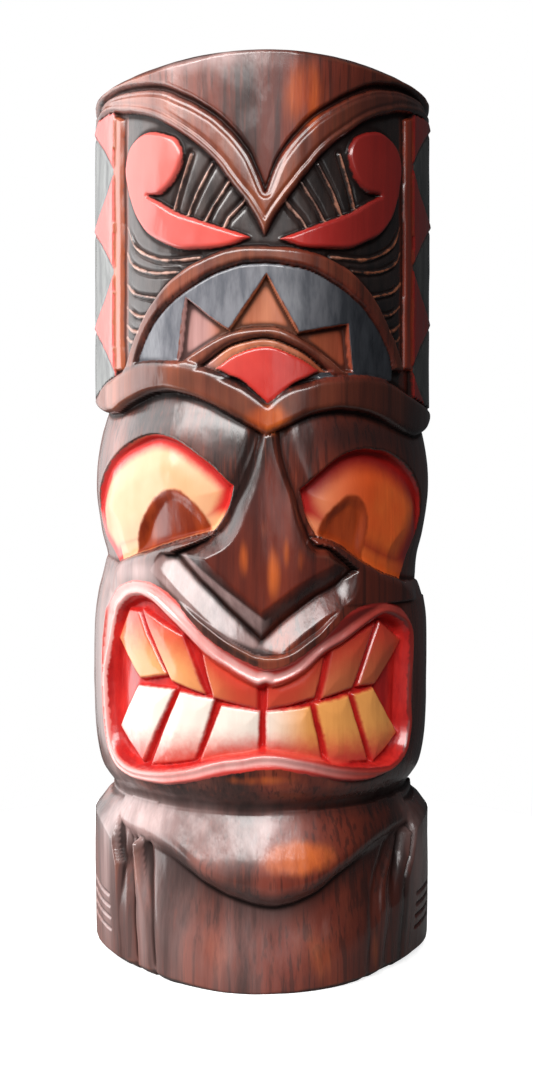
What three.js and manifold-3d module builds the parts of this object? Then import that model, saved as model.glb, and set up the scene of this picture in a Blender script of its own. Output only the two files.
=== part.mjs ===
// A carved wooden tiki figure: half of a 20 cm log, relief-carved on its round front and sawn flat
// behind and below, with a folded strap and a swinging ring behind its head to hang it by.
// Millimetres. +Z up, the carved front faces -Y, +X is the figure's left. The origin is in the middle
// of the base under the front's centre of depth, so the sawn back lies at y = +DEPTH / 2.
import * as THREE from "three";
import { mergeVertices } from "three/addons/utils/BufferGeometryUtils.js";
import Module from "manifold-3d";

// ---- driving dimensions ----
const HEIGHT = 500;
const LOG_RADIUS = 100;
const DEPTH = LOG_RADIUS;
const BACK_Y = DEPTH / 2;
const GAP = 0.3; // between pieces that touch

// how far each layer of the carving stands from the axis of the log
const R_RIB = 100; // proud ribs of the headdress
const R_HOOK = 98.8; // painted hooks, lens and columns
const R_FAN = 97.6; // blue fan
const R_FIELD = 95; // ground between the ribs
const R_UNDER_NOSE = 93.5; // facets of the upper lip
const R_STAR = 92; // sunk star points
const R_EYE = 89.5; // sunk eyeballs
const R_IRIS = 86.5; // scooped iris
const R_MOUTH = 90; // floor of the mouth
const R_TEETH = 94.5;

// widths of the narrow cuts and strips
const RIDGE_WIDTH = 2.4; // fine ridges between the feathers
const ARM_WIDTH = 8;
const FOREHEAD_LIFT = 3; // the forehead starts this far above the V rib

// hanger
const STRAP_WIDTH = 12;
const STRAP_THICKNESS = 1;
const STRAP_LENGTH = 44;
const RING_WIRE = 2.4;
const RING_WIDTH = 22; // outside
const RING_REACH = 19; // from the pivot to the far outside of the ring
const PIVOT_Z = 462;
const SCREW_HEAD_RADIUS = 3.5;
const SCREW_HEAD_HEIGHT = 2;
const SCREW_SHANK_RADIUS = 1.5;
const SCREW_LENGTH = 16;
const SCREW_DROPS = { upper: 24, lower: 36 }; // below the pivot

const SCREW_POINT_LENGTH = 4;
const CROSS_LENGTH = 4; // the recess in the screw's head
const CROSS_WIDTH = 0.8;
const CROSS_DEPTH = 1;
const CURL_END = -0.4 * Math.PI; // where the strap's curl stops, past the bottom of the ring's bar

// fineness of round shapes
const LOG_SEGMENTS = 48;
const SMALL_SEGMENTS = 16;
const CURL_SEGMENTS = 12;
const WIRE_SEGMENTS = 10;
const BOW_POINTS = 16;
const BOW_STEPS = 26;

const MARGIN = 20; // how far cutting solids reach past the block

const EYELET_RADIUS = RING_WIRE / 2 + GAP;
const PIVOT_Y = BACK_Y + GAP + STRAP_THICKNESS + EYELET_RADIUS;

// ---- joining and cutting closed meshes ----
const wasm = await Module();
wasm.setup();

function solidOf(geometry) {
  const bare = geometry.clone();
  bare.deleteAttribute("normal");
  bare.deleteAttribute("uv");
  const merged = mergeVertices(bare, 1e-4);
  return new wasm.Manifold(
    new wasm.Mesh({
      numProp: 3,
      vertProperties: merged.attributes.position.array,
      triVerts: new Uint32Array(merged.index.array),
    }),
  );
}

function geometryOf(solid) {
  const mesh = solid.getMesh();
  const geometry = new THREE.BufferGeometry();
  geometry.setAttribute("position", new THREE.BufferAttribute(mesh.vertProperties, mesh.numProp));
  geometry.setIndex(new THREE.BufferAttribute(mesh.triVerts, 1));
  geometry.computeVertexNormals();
  return geometry;
}

// ---- outlines in the front view: [x, z] in millimetres ----
const toVectors = (points) => points.map(([x, z]) => new THREE.Vector2(x, z));

// A smooth curve through a few points.
const smooth = (points, steps = 2 * points.length - 2) =>
  new THREE.SplineCurve(toVectors(points)).getPoints(steps).map((p) => [p.x, p.y]);

const mirrored = (points) => points.map(([x, z]) => [-x, z]).reverse();

const moved = (points, dx, dz) => points.map(([x, z]) => [x + dx, z + dz]);

// A line on the figure's right half and its mirror image, as one line from side to side.
const acrossFront = (half) => [...half, ...mirrored(half)];

// A strip of a given width along a smooth line.
function stripAlong(points, width, steps = 2 * points.length - 2) {
  const line = new THREE.SplineCurve(toVectors(points));
  const left = [];
  const right = [];
  for (let i = 0; i <= steps; i++) {
    const p = line.getPoint(i / steps);
    const t = line.getTangent(i / steps);
    left.push([p.x - (t.y * width) / 2, p.y + (t.x * width) / 2]);
    right.push([p.x + (t.y * width) / 2, p.y - (t.x * width) / 2]);
  }
  return [...left, ...right.reverse()];
}

// ---- solids from outlines ----
// A prism that runs from in front of the figure to its back plane.
function prism(outline) {
  const depth = LOG_RADIUS + MARGIN;
  const shape = new THREE.Shape(toVectors(outline));
  const geometry = new THREE.ExtrudeGeometry(shape, { depth, bevelEnabled: false, curveSegments: 1 });
  geometry.rotateX(Math.PI / 2);
  geometry.translate(0, BACK_Y, 0);
  return solidOf(geometry);
}

// A body of revolution about the axis of the log, from a [radius, z] profile that starts and ends on it.
function turned(profile) {
  const geometry = new THREE.LatheGeometry(toVectors(profile), LOG_SEGMENTS);
  geometry.rotateX(Math.PI / 2);
  geometry.translate(0, BACK_Y, 0);
  return solidOf(geometry);
}

const logCache = new Map();
function logOf(radius) {
  if (!logCache.has(radius)) {
    logCache.set(radius, turned([[0, 0], [radius, 0], [radius, HEIGHT], [0, HEIGHT]]));
  }
  return logCache.get(radius);
}

const raised = (outline, radius) => prism(outline).intersect(logOf(radius));
const sunk = (outline, radius) => prism(outline).subtract(logOf(radius));

// ---- the figure's lines ----
// headdress
const RIB_TOP = acrossFront(
  smooth([[-99.9, 484], [-82, 488.5], [-62, 484], [-40, 474], [-20, 459], [-7, 443], [-0.01, 425]]),
);
const RIB_BOTTOM = acrossFront(
  smooth([[-99.9, 480], [-80, 476.5], [-59, 467.5], [-40, 453], [-22, 435], [-7.5, 415], [-0.01, 402]]),
);
const V_RIB = [...RIB_TOP, ...RIB_BOTTOM.toReversed()];
const FOREHEAD = [...moved(RIB_TOP, 0, FOREHEAD_LIFT), [99.9, HEIGHT], [-99.9, HEIGHT]];
const HOOK = [
  ...smooth([
    [-8, 400], [-32, 395], [-56, 400.5], [-71.5, 417], [-77.5, 445], [-65, 462.5], [-50, 457],
    [-45.5, 445], [-49.5, 434], [-60, 428],
  ]),
  ...smooth([[-63.5, 427.5], [-45.8, 415.3], [-26.6, 407.6], [-8, 401]]),
];
const COLUMN = [[-86, 336], [-79.5, 336], [-79.5, 474], [-86, 477]];
const SIDE_TEETH = [
  [[-101, 485], [-87, 446], [-101, 424]],
  [[-101, 414], [-85, 388], [-101, 362]],
  [[-101, 354], [-88, 336], [-101, 322]],
];
const FEATHERS = [
  [[-45.3, 420.6], [-34, 444]],
  [[-36.5, 416.2], [-24.2, 434.8]],
  [[-26.7, 409.4], [-14.4, 423.6]],
  [[-17, 405], [-6.4, 414.3]],
];
const SCALLOPS = [
  [[-79, 396], [-70.5, 390], [-62, 386], [-52, 384.5]],
  [[-79, 379.5], [-72, 375.5], [-64, 372]],
  [[-79.5, 367.5], [-70.5, 363]],
  [[-80, 358], [-73, 354.5]],
];
const ARCH_OUTER = acrossFront(
  smooth([[-78, 336], [-72, 353], [-60.5, 372], [-44.5, 386], [-26, 393.5], [0, 396]]),
);
const ARCH_INNER = acrossFront(smooth([[-70, 336], [-64.5, 353], [-47.5, 370], [-29, 381], [0, 387]]));
const ARCH = [...ARCH_OUTER, ...ARCH_INNER.toReversed()];
const STAR = [[-46.5, 334], [-42, 370], [-19.5, 352], [0, 384], [18, 351], [44, 363], [46, 334]];
const SMALL_ARCH = [
  ...smooth([[-45, 330], [-30, 345], [0, 353.5], [25, 345], [43, 330]]),
  ...smooth([[37, 328], [24, 339], [0, 347.4], [-21, 342.5], [-38, 330]]),
];
const LENS = [
  ...smooth([[-27, 331.5], [-12, 340.5], [0.5, 343], [13, 340.5], [29.5, 330.5]]),
  ...smooth([[29.5, 330.5], [14.5, 322.5], [0.8, 311]]),
  ...smooth([[0.8, 311], [-13, 324], [-27, 331.5]]),
];
const BROW_TOP = [
  ...smooth([[-99.9, 322], [-87, 331], [-70, 337], [-50, 336.5], [-30, 331.5], [-10, 320], [0.8, 313]]),
  ...smooth([[1, 313], [16, 322], [40, 328], [62, 327.5], [84, 320], [99.9, 314]]),
];
const BROW_BOTTOM = [
  ...smooth([[-99.9, 318], [-96, 313], [-87, 309.5]]),
  ...smooth([[-87, 309.5], [-72, 317.5], [-55, 320], [-40, 317], [-19.5, 306], [0.3, 295.5]]),
  ...smooth([[0.5, 295.5], [14, 301.5], [35, 309], [55, 308], [82, 298]]),
  ...smooth([[82, 298], [93, 300], [99.9, 306]]),
];
const BROW = [...BROW_TOP, ...BROW_BOTTOM.toReversed()];
const HEADDRESS = [...BROW_BOTTOM, [99.9, HEIGHT], [-99.9, HEIGHT]];

// face
const RIGHT_EYE = [
  ...smooth([[-85, 227], [-92, 247], [-90, 272], [-78, 290], [-60, 297], [-40, 289], [-16, 269]]),
  ...smooth([[-16, 269], [-20, 256], [-28, 244.5]]),
  ...smooth([[-28, 244.5], [-56, 237], [-85, 227]]),
];
const LEFT_EYE = [
  ...smooth([[18, 266.5], [37, 283], [58, 289], [77, 282], [88, 261], [86, 240], [80.5, 216.5]]),
  ...smooth([[80.5, 216.5], [57, 226], [42.5, 238], [26.5, 242.5]]),
  ...smooth([[26.5, 242.5], [20, 253], [18, 266.5]]),
];
const RIGHT_IRIS = smooth([
  [-70, 234], [-67, 249], [-55.5, 264.5], [-44, 265.5], [-34, 255], [-29, 243], [-50, 238], [-70, 234],
]);
const LEFT_IRIS = smooth([
  [28, 243], [34, 257], [46.5, 264.5], [55, 257], [55.5, 243], [54, 229], [42, 238], [28, 243],
]);
const NOSE = [
  ...smooth([[-3.5, 296], [-11, 276], [-18, 261], [-27, 244], [-48, 234]]),
  ...smooth([[-48, 233], [-23, 210], [-1, 187]]),
  ...smooth([[1, 187], [27, 208], [50, 221]]),
  ...smooth([[50, 222], [28, 239], [20, 260], [10, 290], [5, 296]]),
];
const MUZZLE_TOP = [
  ...smooth([[-99.9, 222], [-86, 226], [-58, 236.5], [-30, 243]]),
  ...smooth([[26, 242.5], [42, 238], [57.5, 226], [80.5, 216.5], [99.9, 211]]),
];
const MUZZLE_BOTTOM = smooth([
  [-99.9, 112], [-84, 100], [-40, 101], [0, 107], [40, 101], [80, 99], [99.9, 108],
]);
const MUZZLE = [...MUZZLE_TOP, ...MUZZLE_BOTTOM.toReversed()];
const UNDER_NOSE = [
  ...smooth([[-52, 234], [-23, 210], [-0.5, 187]]),
  ...smooth([[0.5, 187], [27, 208], [50, 221]]),
  ...smooth([[47, 208], [22, 185], [0, 178]]),
  ...smooth([[-1, 178], [-28, 192], [-58, 219]]),
];
const LIP = smooth([
  [-89, 200], [-76, 216], [-58, 215], [-41, 198], [-18, 180], [2, 173], [27, 183.5], [46, 201.5],
  [71, 204.5], [83, 188], [82.5, 135.5], [71, 113.5], [46, 111.5], [8, 122], [-30, 116.5], [-64, 108],
  [-86, 114.5], [-90, 146.5], [-89, 200],
]);
const MOUTH = smooth([
  [-84, 195], [-74, 208.5], [-60, 206], [-44, 192], [-24, 174], [0, 166], [24, 172], [42, 189],
  [62, 197], [75, 188], [77.5, 140], [68, 120], [46, 117], [8, 127], [-30, 122], [-62, 114],
  [-80, 122], [-85, 150], [-84, 195],
]);
const TEETH = [
  [[-75.5, 199], [-81.5, 182], [-69.5, 163.5], [-56, 167]],
  [[-68.5, 199.5], [-46, 188], [-33, 158.5], [-52, 164]],
  [[-34, 180], [-4.5, 164], [-4.5, 151.5], [-28, 156]],
  [[1.5, 164], [32, 175], [27, 157], [1.5, 151.5]],
  [[35.5, 177], [59, 192], [47, 161.5], [31, 156.5]],
  [[64, 193], [75.5, 182], [61.5, 162.5], [51.5, 162]],
  [[-70.5, 157.5], [-50, 157.5], [-68, 118.5], [-81, 134]],
  [[-46, 156.5], [-28, 153.5], [-37.5, 124], [-62, 117.5]],
  [[-23.5, 150.5], [-3, 148.5], [-3.8, 128.5], [-33.5, 122.5]],
  [[1.5, 148.5], [24.5, 150.5], [31.5, 122.5], [1.5, 128.5]],
  [[29, 151.5], [45.5, 154.5], [56, 120], [36.5, 121]],
  [[49.5, 155.5], [60, 157.5], [73, 132], [60.5, 120]],
];

// chest and arms
const CHEST = [
  ...smooth([
    [-99.9, 82], [-84, 77], [-65, 74], [-33, 58], [0, 48.5], [33, 57], [60, 70], [74, 75], [99.9, 82],
  ]),
  [99.9, 90],
  [-99.9, 90],
];
const ARM_STRIP = stripAlong([[-80, 76], [-75, 50], [-70.5, 25], [-69, -1]], ARM_WIDTH);
const ELBOW = [[-99.9, 85], [-84, 80], [-83, 50], [-82, -1], [-99.9, -1]];
const ELBOW_NOTCH_Z = [40, 33, 26, 19];
const ELBOW_NOTCH_REACH = 88; // from the middle of the figure to a notch's inner end

// ---- the carved block ----
// the plain turned shape under the relief: base, chest, muzzle neck, eye band and headdress ground
const BLOCK_PROFILE = [
  [0, 0], [95.5, 0], [96.5, 4], [94, 30], [92.5, 55], [94, 78], [90, 92], [86, 98], [88, 108],
  [90, 120], [90, 200], [87, 213], [92.5, 225], [96.5, 245], [97, 268], [95, 290], [90.5, 308],
  [90.5, 340], [R_FIELD, 341], [R_FIELD, HEIGHT], [0, HEIGHT],
];

// the outermost surface: worn edges at both ends, and the sloping top of the chest
const ENVELOPE_PROFILE = [
  [0, 0], [94, 0], [101, 7], [101, 64], [89.5, 91], [101, 93], [101, HEIGHT - 6], [93, HEIGHT], [0, HEIGHT],
];

const bothSides = (outline) => [outline, mirrored(outline)];

function headdressRelief() {
  const parts = [
    raised(HEADDRESS, R_FIELD),
    raised(FOREHEAD, R_HOOK),
    raised(V_RIB, R_RIB),
    raised(ARCH, R_RIB),
    raised(BROW, R_RIB),
  ];
  for (const side of [...bothSides(HOOK), ...bothSides(COLUMN)]) {
    parts.push(raised(side, R_HOOK));
  }
  for (const tooth of SIDE_TEETH) {
    for (const side of bothSides(tooth)) {
      parts.push(raised(side, R_RIB));
    }
  }
  for (const line of [...FEATHERS, ...SCALLOPS]) {
    for (const side of bothSides(stripAlong(line, RIDGE_WIDTH))) {
      parts.push(raised(side, R_FAN));
    }
  }
  const fan = raised([...ARCH_INNER, [60, 330], [-60, 330]], R_FAN);
  return { parts, fan };
}

function carvedBlock() {
  const wide = LOG_RADIUS + MARGIN;
  const top = HEIGHT + MARGIN;
  const frontHalf = prism([[-wide, -MARGIN], [wide, -MARGIN], [wide, top], [-wide, top]]);
  const envelope = turned(ENVELOPE_PROFILE);
  const { parts, fan } = headdressRelief();
  let block = turned(BLOCK_PROFILE).intersect(frontHalf);
  block = block.add(fan).subtract(sunk(STAR, R_STAR));
  for (const part of parts) {
    block = block.add(part);
  }
  block = block.add(raised(SMALL_ARCH, R_HOOK)).add(raised(LENS, R_HOOK));
  for (const eye of [RIGHT_EYE, LEFT_EYE]) {
    block = block.subtract(sunk(eye, R_EYE));
  }
  for (const iris of [RIGHT_IRIS, LEFT_IRIS]) {
    block = block.subtract(sunk(iris, R_IRIS));
  }
  block = block.add(raised(MUZZLE, R_FAN)).subtract(sunk(UNDER_NOSE, R_UNDER_NOSE));
  block = block.add(raised(LIP, R_HOOK)).add(raised(NOSE, R_RIB)).subtract(sunk(MOUTH, R_MOUTH));
  for (const tooth of TEETH) {
    block = block.add(raised(tooth, R_TEETH));
  }
  block = block.add(raised(CHEST, R_RIB));
  for (const side of [...bothSides(ARM_STRIP), ...bothSides(ELBOW)]) {
    block = block.add(raised(side, R_FAN));
  }
  for (const z of ELBOW_NOTCH_Z) {
    const inner = -ELBOW_NOTCH_REACH;
    const notch = [[-LOG_RADIUS, z], [inner, z], [inner, z + RIDGE_WIDTH], [-LOG_RADIUS, z + RIDGE_WIDTH]];
    for (const side of bothSides(notch)) {
      block = block.subtract(sunk(side, R_FIELD));
    }
  }
  block = block.intersect(envelope);
  for (const drop of Object.values(SCREW_DROPS)) {
    block = block.subtract(pilotHole(drop));
  }
  return block;
}

// ---- the hanger ----
// A round rod along Y, from y0 to y1, at height z.
function rodAlongY(radius, y0, y1, z) {
  const geometry = new THREE.CylinderGeometry(radius, radius, y1 - y0, SMALL_SEGMENTS);
  geometry.translate(0, (y0 + y1) / 2, z);
  return solidOf(geometry);
}

const pilotHole = (drop) =>
  rodAlongY(SCREW_SHANK_RADIUS + GAP, BACK_Y - SCREW_LENGTH - 2 * GAP, BACK_Y + 1, PIVOT_Z - drop);

// A flat strap whose top end is curled over the ring's bar.
function hangerStrap() {
  const outer = EYELET_RADIUS + STRAP_THICKNESS;
  const side = new THREE.Shape();
  side.moveTo(PIVOT_Y - outer, PIVOT_Z - STRAP_LENGTH);
  side.lineTo(PIVOT_Y - outer, PIVOT_Z);
  side.absarc(PIVOT_Y, PIVOT_Z, outer, Math.PI, CURL_END, true);
  side.absarc(PIVOT_Y, PIVOT_Z, EYELET_RADIUS, CURL_END, Math.PI, false);
  side.lineTo(PIVOT_Y - EYELET_RADIUS, PIVOT_Z - STRAP_LENGTH);
  const extrusion = { depth: STRAP_WIDTH, bevelEnabled: false, curveSegments: CURL_SEGMENTS };
  const geometry = new THREE.ExtrudeGeometry(side, extrusion);
  // the profile's x and y become Y and Z, and the strap's width lies along X
  const upright = new THREE.Matrix4();
  upright.set(0, 0, 1, -STRAP_WIDTH / 2, 1, 0, 0, 0, 0, 1, 0, 0, 0, 0, 0, 1);
  geometry.applyMatrix4(upright);
  let strap = solidOf(geometry);
  for (const drop of Object.values(SCREW_DROPS)) {
    const hole = rodAlongY(SCREW_SHANK_RADIUS + GAP, BACK_Y, PIVOT_Y + outer, PIVOT_Z - drop);
    strap = strap.subtract(hole);
  }
  return strap;
}

// A D-shaped ring of round wire: a straight bar through the curl, and a bow below it.
function hangerRing() {
  const wire = RING_WIRE / 2;
  const halfWidth = RING_WIDTH / 2 - wire;
  const bowCentre = wire + halfWidth - RING_REACH; // below the pivot
  const section = new THREE.Shape();
  section.absarc(0, 0, wire, 0, 2 * Math.PI, false);
  const bow = [new THREE.Vector3(-halfWidth, 0, 0)];
  for (let i = 0; i <= BOW_POINTS; i++) {
    const angle = Math.PI + (Math.PI * i) / BOW_POINTS;
    bow.push(new THREE.Vector3(halfWidth * Math.cos(angle), 0, bowCentre + halfWidth * Math.sin(angle)));
  }
  bow.push(new THREE.Vector3(halfWidth, 0, 0));
  const extrudePath = new THREE.CatmullRomCurve3(bow, false, "catmullrom", 0.1);
  const extrusion = { extrudePath, steps: BOW_STEPS, curveSegments: WIRE_SEGMENTS / 2 };
  const bar = new THREE.CylinderGeometry(wire, wire, 2 * halfWidth, WIRE_SEGMENTS);
  bar.rotateZ(Math.PI / 2);
  let ring = solidOf(new THREE.ExtrudeGeometry(section, extrusion)).add(solidOf(bar));
  for (const side of [-1, 1]) {
    // a ball a little thicker than the wire closes each corner
    const corner = new THREE.SphereGeometry(wire * 1.02, WIRE_SEGMENTS, 6);
    corner.translate(side * halfWidth, 0, 0);
    ring = ring.add(solidOf(corner));
  }
  return ring;
}

// A pan-head screw with a cross recess; its axis is along Y and its point is inside the wood.
function hangerScrew() {
  const seat = BACK_Y + GAP + STRAP_THICKNESS + GAP;
  const crown = seat + SCREW_HEAD_HEIGHT;
  const point = BACK_Y - SCREW_LENGTH;
  const profile = [
    [0, point],
    [SCREW_SHANK_RADIUS, point + SCREW_POINT_LENGTH],
    [SCREW_SHANK_RADIUS, seat],
    [SCREW_HEAD_RADIUS, seat],
    [SCREW_HEAD_RADIUS, seat + 0.3 * SCREW_HEAD_HEIGHT],
    [0.8 * SCREW_HEAD_RADIUS, seat + 0.85 * SCREW_HEAD_HEIGHT],
    [0.4 * SCREW_HEAD_RADIUS, crown],
    [0, crown],
  ];
  let screw = solidOf(new THREE.LatheGeometry(toVectors(profile), SMALL_SEGMENTS));
  for (const [width, length] of [[CROSS_WIDTH, CROSS_LENGTH], [CROSS_LENGTH, CROSS_WIDTH]]) {
    const slot = new THREE.BoxGeometry(width, 2 * CROSS_DEPTH, length);
    slot.translate(0, crown, 0);
    screw = screw.subtract(solidOf(slot));
  }
  return screw;
}

// ---- the figure ----
const figure = new THREE.Group();

function place(name, solid, colour, roughness, metalness, position = [0, 0, 0]) {
  const material = new THREE.MeshStandardMaterial({ color: colour, roughness, metalness });
  const mesh = new THREE.Mesh(geometryOf(solid), material);
  mesh.name = name;
  mesh.position.set(...position);
  figure.add(mesh);
}

place("carved_body", carvedBlock(), 0x6b3a28, 0.35, 0);
place("hanger_strap", hangerStrap(), 0xb9bcc0, 0.4, 1);
place("hanger_ring", hangerRing(), 0xc4c6c8, 0.3, 1, [0, PIVOT_Y, PIVOT_Z]);
for (const [name, drop] of Object.entries(SCREW_DROPS)) {
  place(`hanger_screw_${name}`, hangerScrew(), 0xc9b98a, 0.35, 1, [0, 0, PIVOT_Z - drop]);
}

export default figure;
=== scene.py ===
"""Looks of the carved tiki figure: the block's carved surface, its paint and varnish, and the hanger."""
import math

import bpy
import numpy as np
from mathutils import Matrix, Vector


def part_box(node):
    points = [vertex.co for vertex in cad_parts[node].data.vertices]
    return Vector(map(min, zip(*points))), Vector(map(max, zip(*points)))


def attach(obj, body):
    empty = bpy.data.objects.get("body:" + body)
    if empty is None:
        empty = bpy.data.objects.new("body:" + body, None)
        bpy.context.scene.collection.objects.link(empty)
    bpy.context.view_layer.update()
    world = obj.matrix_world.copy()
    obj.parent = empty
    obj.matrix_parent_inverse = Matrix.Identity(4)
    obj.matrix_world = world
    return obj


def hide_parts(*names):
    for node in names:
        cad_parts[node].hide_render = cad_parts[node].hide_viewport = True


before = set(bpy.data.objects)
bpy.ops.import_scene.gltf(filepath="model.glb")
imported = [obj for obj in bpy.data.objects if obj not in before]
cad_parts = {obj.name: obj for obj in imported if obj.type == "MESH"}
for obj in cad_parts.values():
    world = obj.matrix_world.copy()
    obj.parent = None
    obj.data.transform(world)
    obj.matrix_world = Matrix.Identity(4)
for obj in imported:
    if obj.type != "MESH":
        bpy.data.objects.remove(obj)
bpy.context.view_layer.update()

MM = 0.001

# ---- the block, from the frame, in millimetres ----
BLOCK_LOW, BLOCK_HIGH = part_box("carved_body")
HEIGHT = (BLOCK_HIGH.z - BLOCK_LOW.z) / MM
LOG_RADIUS = (BLOCK_HIGH.x - BLOCK_LOW.x) / 2 / MM
BACK_Y = BLOCK_HIGH.y / MM

# ---- fineness of the carved surface ----
STEP_ROUND = 0.72
STEP_UP = 0.78
STEP_BACK = 2.5
FAR = 12.0  # distances from an outline are kept up to this many millimetres

rng = np.random.default_rng(17)

# ---- the surface grid: s runs round the front along the log's skin, z runs up ----
HALF_SKIN = LOG_RADIUS * math.pi / 2
S_LINE = np.linspace(-HALF_SKIN, HALF_SKIN, int(2 * HALF_SKIN / STEP_ROUND) | 1)
Z_LINE = np.linspace(0, HEIGHT, int(HEIGHT / STEP_UP) + 1)
S, Z = np.meshgrid(S_LINE, Z_LINE)
PHI = S / LOG_RADIUS


def noise(size_s, size_z, octaves=1):
    """Smooth random hills from -1 to 1 over the grid, of the given size in millimetres."""
    total = np.zeros_like(S)
    for octave in range(octaves):
        step_s, step_z = size_s / 2**octave, size_z / 2**octave
        table = rng.uniform(-1, 1, (int(HEIGHT / step_z) + 4, int(2 * HALF_SKIN / step_s) + 4))
        u, v = (S + HALF_SKIN) / step_s, Z / step_z
        i, j = v.astype(int), u.astype(int)
        fv, fu = v - i, u - j
        fv, fu = fv * fv * (3 - 2 * fv), fu * fu * (3 - 2 * fu)
        low = table[i, j] * (1 - fu) + table[i, j + 1] * fu
        high = table[i + 1, j] * (1 - fu) + table[i + 1, j + 1] * fu
        total += (low * (1 - fv) + high * fv) / 2**octave
    return total


# a carver's hand never follows a line exactly
WARP_S = 0.55 * noise(24, 24) + 0.25 * noise(9, 9)
WARP_Z = 0.55 * noise(24, 24) + 0.25 * noise(9, 9)
SW, ZW = S + WARP_S, Z + WARP_Z


# ---- outlines: [x, z] in the front view ----
def smooth(points, steps=6):
    """A Catmull-Rom curve through the points."""
    p = np.array(points, float)
    p = np.vstack([2 * p[0] - p[1], p, 2 * p[-1] - p[-2]])
    t = np.linspace(0, 1, steps, endpoint=False)[:, None]
    out = [
        0.5 * (2 * b + (c - a) * t + (2 * a - 5 * b + 4 * c - d) * t**2 + (3 * b - a - 3 * c + d) * t**3)
        for a, b, c, d in zip(p, p[1:], p[2:], p[3:])
    ]
    return [tuple(q) for q in np.vstack(out + [p[-2:-1]])]


def mirrored(points):
    return [(-x, z) for x, z in reversed(points)]


def across(half):
    """A line on the viewer's left half and its mirror image, as one line."""
    return list(half) + mirrored(half)


def on_skin(points, radius):
    """Front-view points that lie on a layer of that radius, as [s, z] on the log's skin."""
    p = np.array(points, float)
    p[:, 0] = LOG_RADIUS * np.arcsin(np.clip(p[:, 0] / radius, -1, 1))
    return p


def window(p):
    """The rows and columns of the grid within FAR of the points."""
    rows = np.searchsorted(Z_LINE, [p[:, 1].min() - FAR, p[:, 1].max() + FAR])
    cols = np.searchsorted(S_LINE, [p[:, 0].min() - FAR, p[:, 0].max() + FAR])
    return slice(*rows), slice(*cols)


def distance_to_edges(s, z, p, closed):
    """The distance of every (s, z) from the nearest edge between the points."""
    best = np.full(s.shape, 1e9)
    count = len(p) if closed else len(p) - 1
    for k in range(count):
        a, b = p[k], p[(k + 1) % len(p)]
        e = b - a
        length = max(e @ e, 1e-9)
        t = np.clip(((s - a[0]) * e[0] + (z - a[1]) * e[1]) / length, 0, 1)
        best = np.minimum(best, (s - a[0] - t * e[0]) ** 2 + (z - a[1] - t * e[1]) ** 2)
    return np.sqrt(best)


def depth_in(outline, radius=100.0):
    """How far inside a closed outline each grid point lies, in millimetres; negative outside."""
    p = on_skin(outline, radius)
    win = window(p)
    s, z = SW[win], ZW[win]
    inside = np.zeros(s.shape, bool)
    for k in range(len(p)):
        (s0, z0), (s1, z1) = p[k], p[(k + 1) % len(p)]
        if z0 != z1:
            crosses = (z0 > z) != (z1 > z)
            inside ^= crosses & (s < (s1 - s0) * (z - z0) / (z1 - z0) + s0)
    d = distance_to_edges(s, z, p, closed=True)
    out = np.full(S.shape, -FAR)
    out[win] = np.maximum(np.where(inside, d, -d), -FAR)
    return out


def near(line, radius=100.0):
    """The distance of each grid point from an open line, up to FAR."""
    p = on_skin(line, radius)
    win = window(p)
    out = np.full(S.shape, FAR)
    out[win] = np.minimum(distance_to_edges(SW[win], ZW[win], p, closed=False), FAR)
    return out


def height_of(line, radius=100.0):
    """z of a front-view line at every s, as a function over the grid."""
    p = on_skin(line, radius)
    order = np.argsort(p[:, 0])
    return np.interp(SW, p[order, 0], p[order, 1])


def ramp(x):
    """0 below 0, 1 above 1, smooth between."""
    t = np.clip(x, 0, 1)
    return t * t * (3 - 2 * t)


def round_over(x):
    """A quarter-round from 0 to 1."""
    t = np.clip(x, 0, 1)
    return np.sqrt(1 - (1 - t) ** 2)


def mix(a, b, t):
    return a + (b - a) * t


# ---- the figure's lines, front view, millimetres ----
RIB_TOP = across(smooth([
    (-100, 485), (-90, 488.5), (-75, 487.5), (-60, 484), (-47, 478), (-34, 470), (-20, 459),
    (-8, 444), (0, 425),
]))
RIB_BOTTOM = across(smooth([
    (-100, 481), (-88, 479), (-74, 474.5), (-59, 467.5), (-47, 459), (-30, 444), (-15, 425),
    (-6, 412), (0, 401.5),
]))
HOOK = (
    smooth([
        (-8, 400), (-18.7, 396), (-32, 395), (-45.6, 396), (-56, 400.5), (-65, 407), (-71.5, 417),
        (-75.4, 429),
    ])
    + smooth([(-75.4, 429), (-77.5, 445), (-74, 457), (-65, 462.5), (-56, 461)])
    + smooth([(-56, 461), (-49, 457), (-45.5, 450), (-45.5, 443), (-49.5, 434), (-56, 428), (-63.5, 427.5)])
    + smooth([(-63.5, 427.5), (-54, 421), (-45.8, 415.3), (-26.6, 407.6), (-8, 400.6)])
)
COLUMN = [(-85.4, 334), (-80.2, 334), (-80.2, 474), (-85.4, 478)]
FEATHER_CUTS = [
    [(-50, 418), (-46.5, 430), (-41, 447)],
    [(-43.5, 411), (-38, 425), (-29, 441)],
    [(-34.5, 407), (-28.5, 418), (-19.5, 430.5)],
    [(-25, 402), (-20, 411), (-11, 420.5)],
]
SCALLOP_CUTS = [
    smooth([(-78, 414), (-74, 403), (-66, 396), (-55, 391.5), (-36, 391)]),
    smooth([(-78, 399), (-74, 391.5), (-62, 385.5), (-48, 384.5)]),
    smooth([(-78, 381.5), (-73, 376), (-60, 371.5)]),
    smooth([(-78, 369), (-72, 363.5), (-64, 362)]),
    smooth([(-78, 359), (-74, 355), (-68, 354)]),
    smooth([(-78, 352), (-76, 349.5), (-73, 349)]),
]
ARCH_OUTER = across(smooth([
    (-79, 332), (-75.5, 343), (-70, 356), (-60.5, 371.5), (-46, 385), (-26, 393.5), (-12, 395.8),
    (0, 396.2),
]))
ARCH_INNER = across(smooth([
    (-71.5, 332), (-69, 342), (-63, 354.5), (-53.5, 366), (-42, 374.5), (-26, 382.5), (-12, 386),
    (0, 387),
]))
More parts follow.
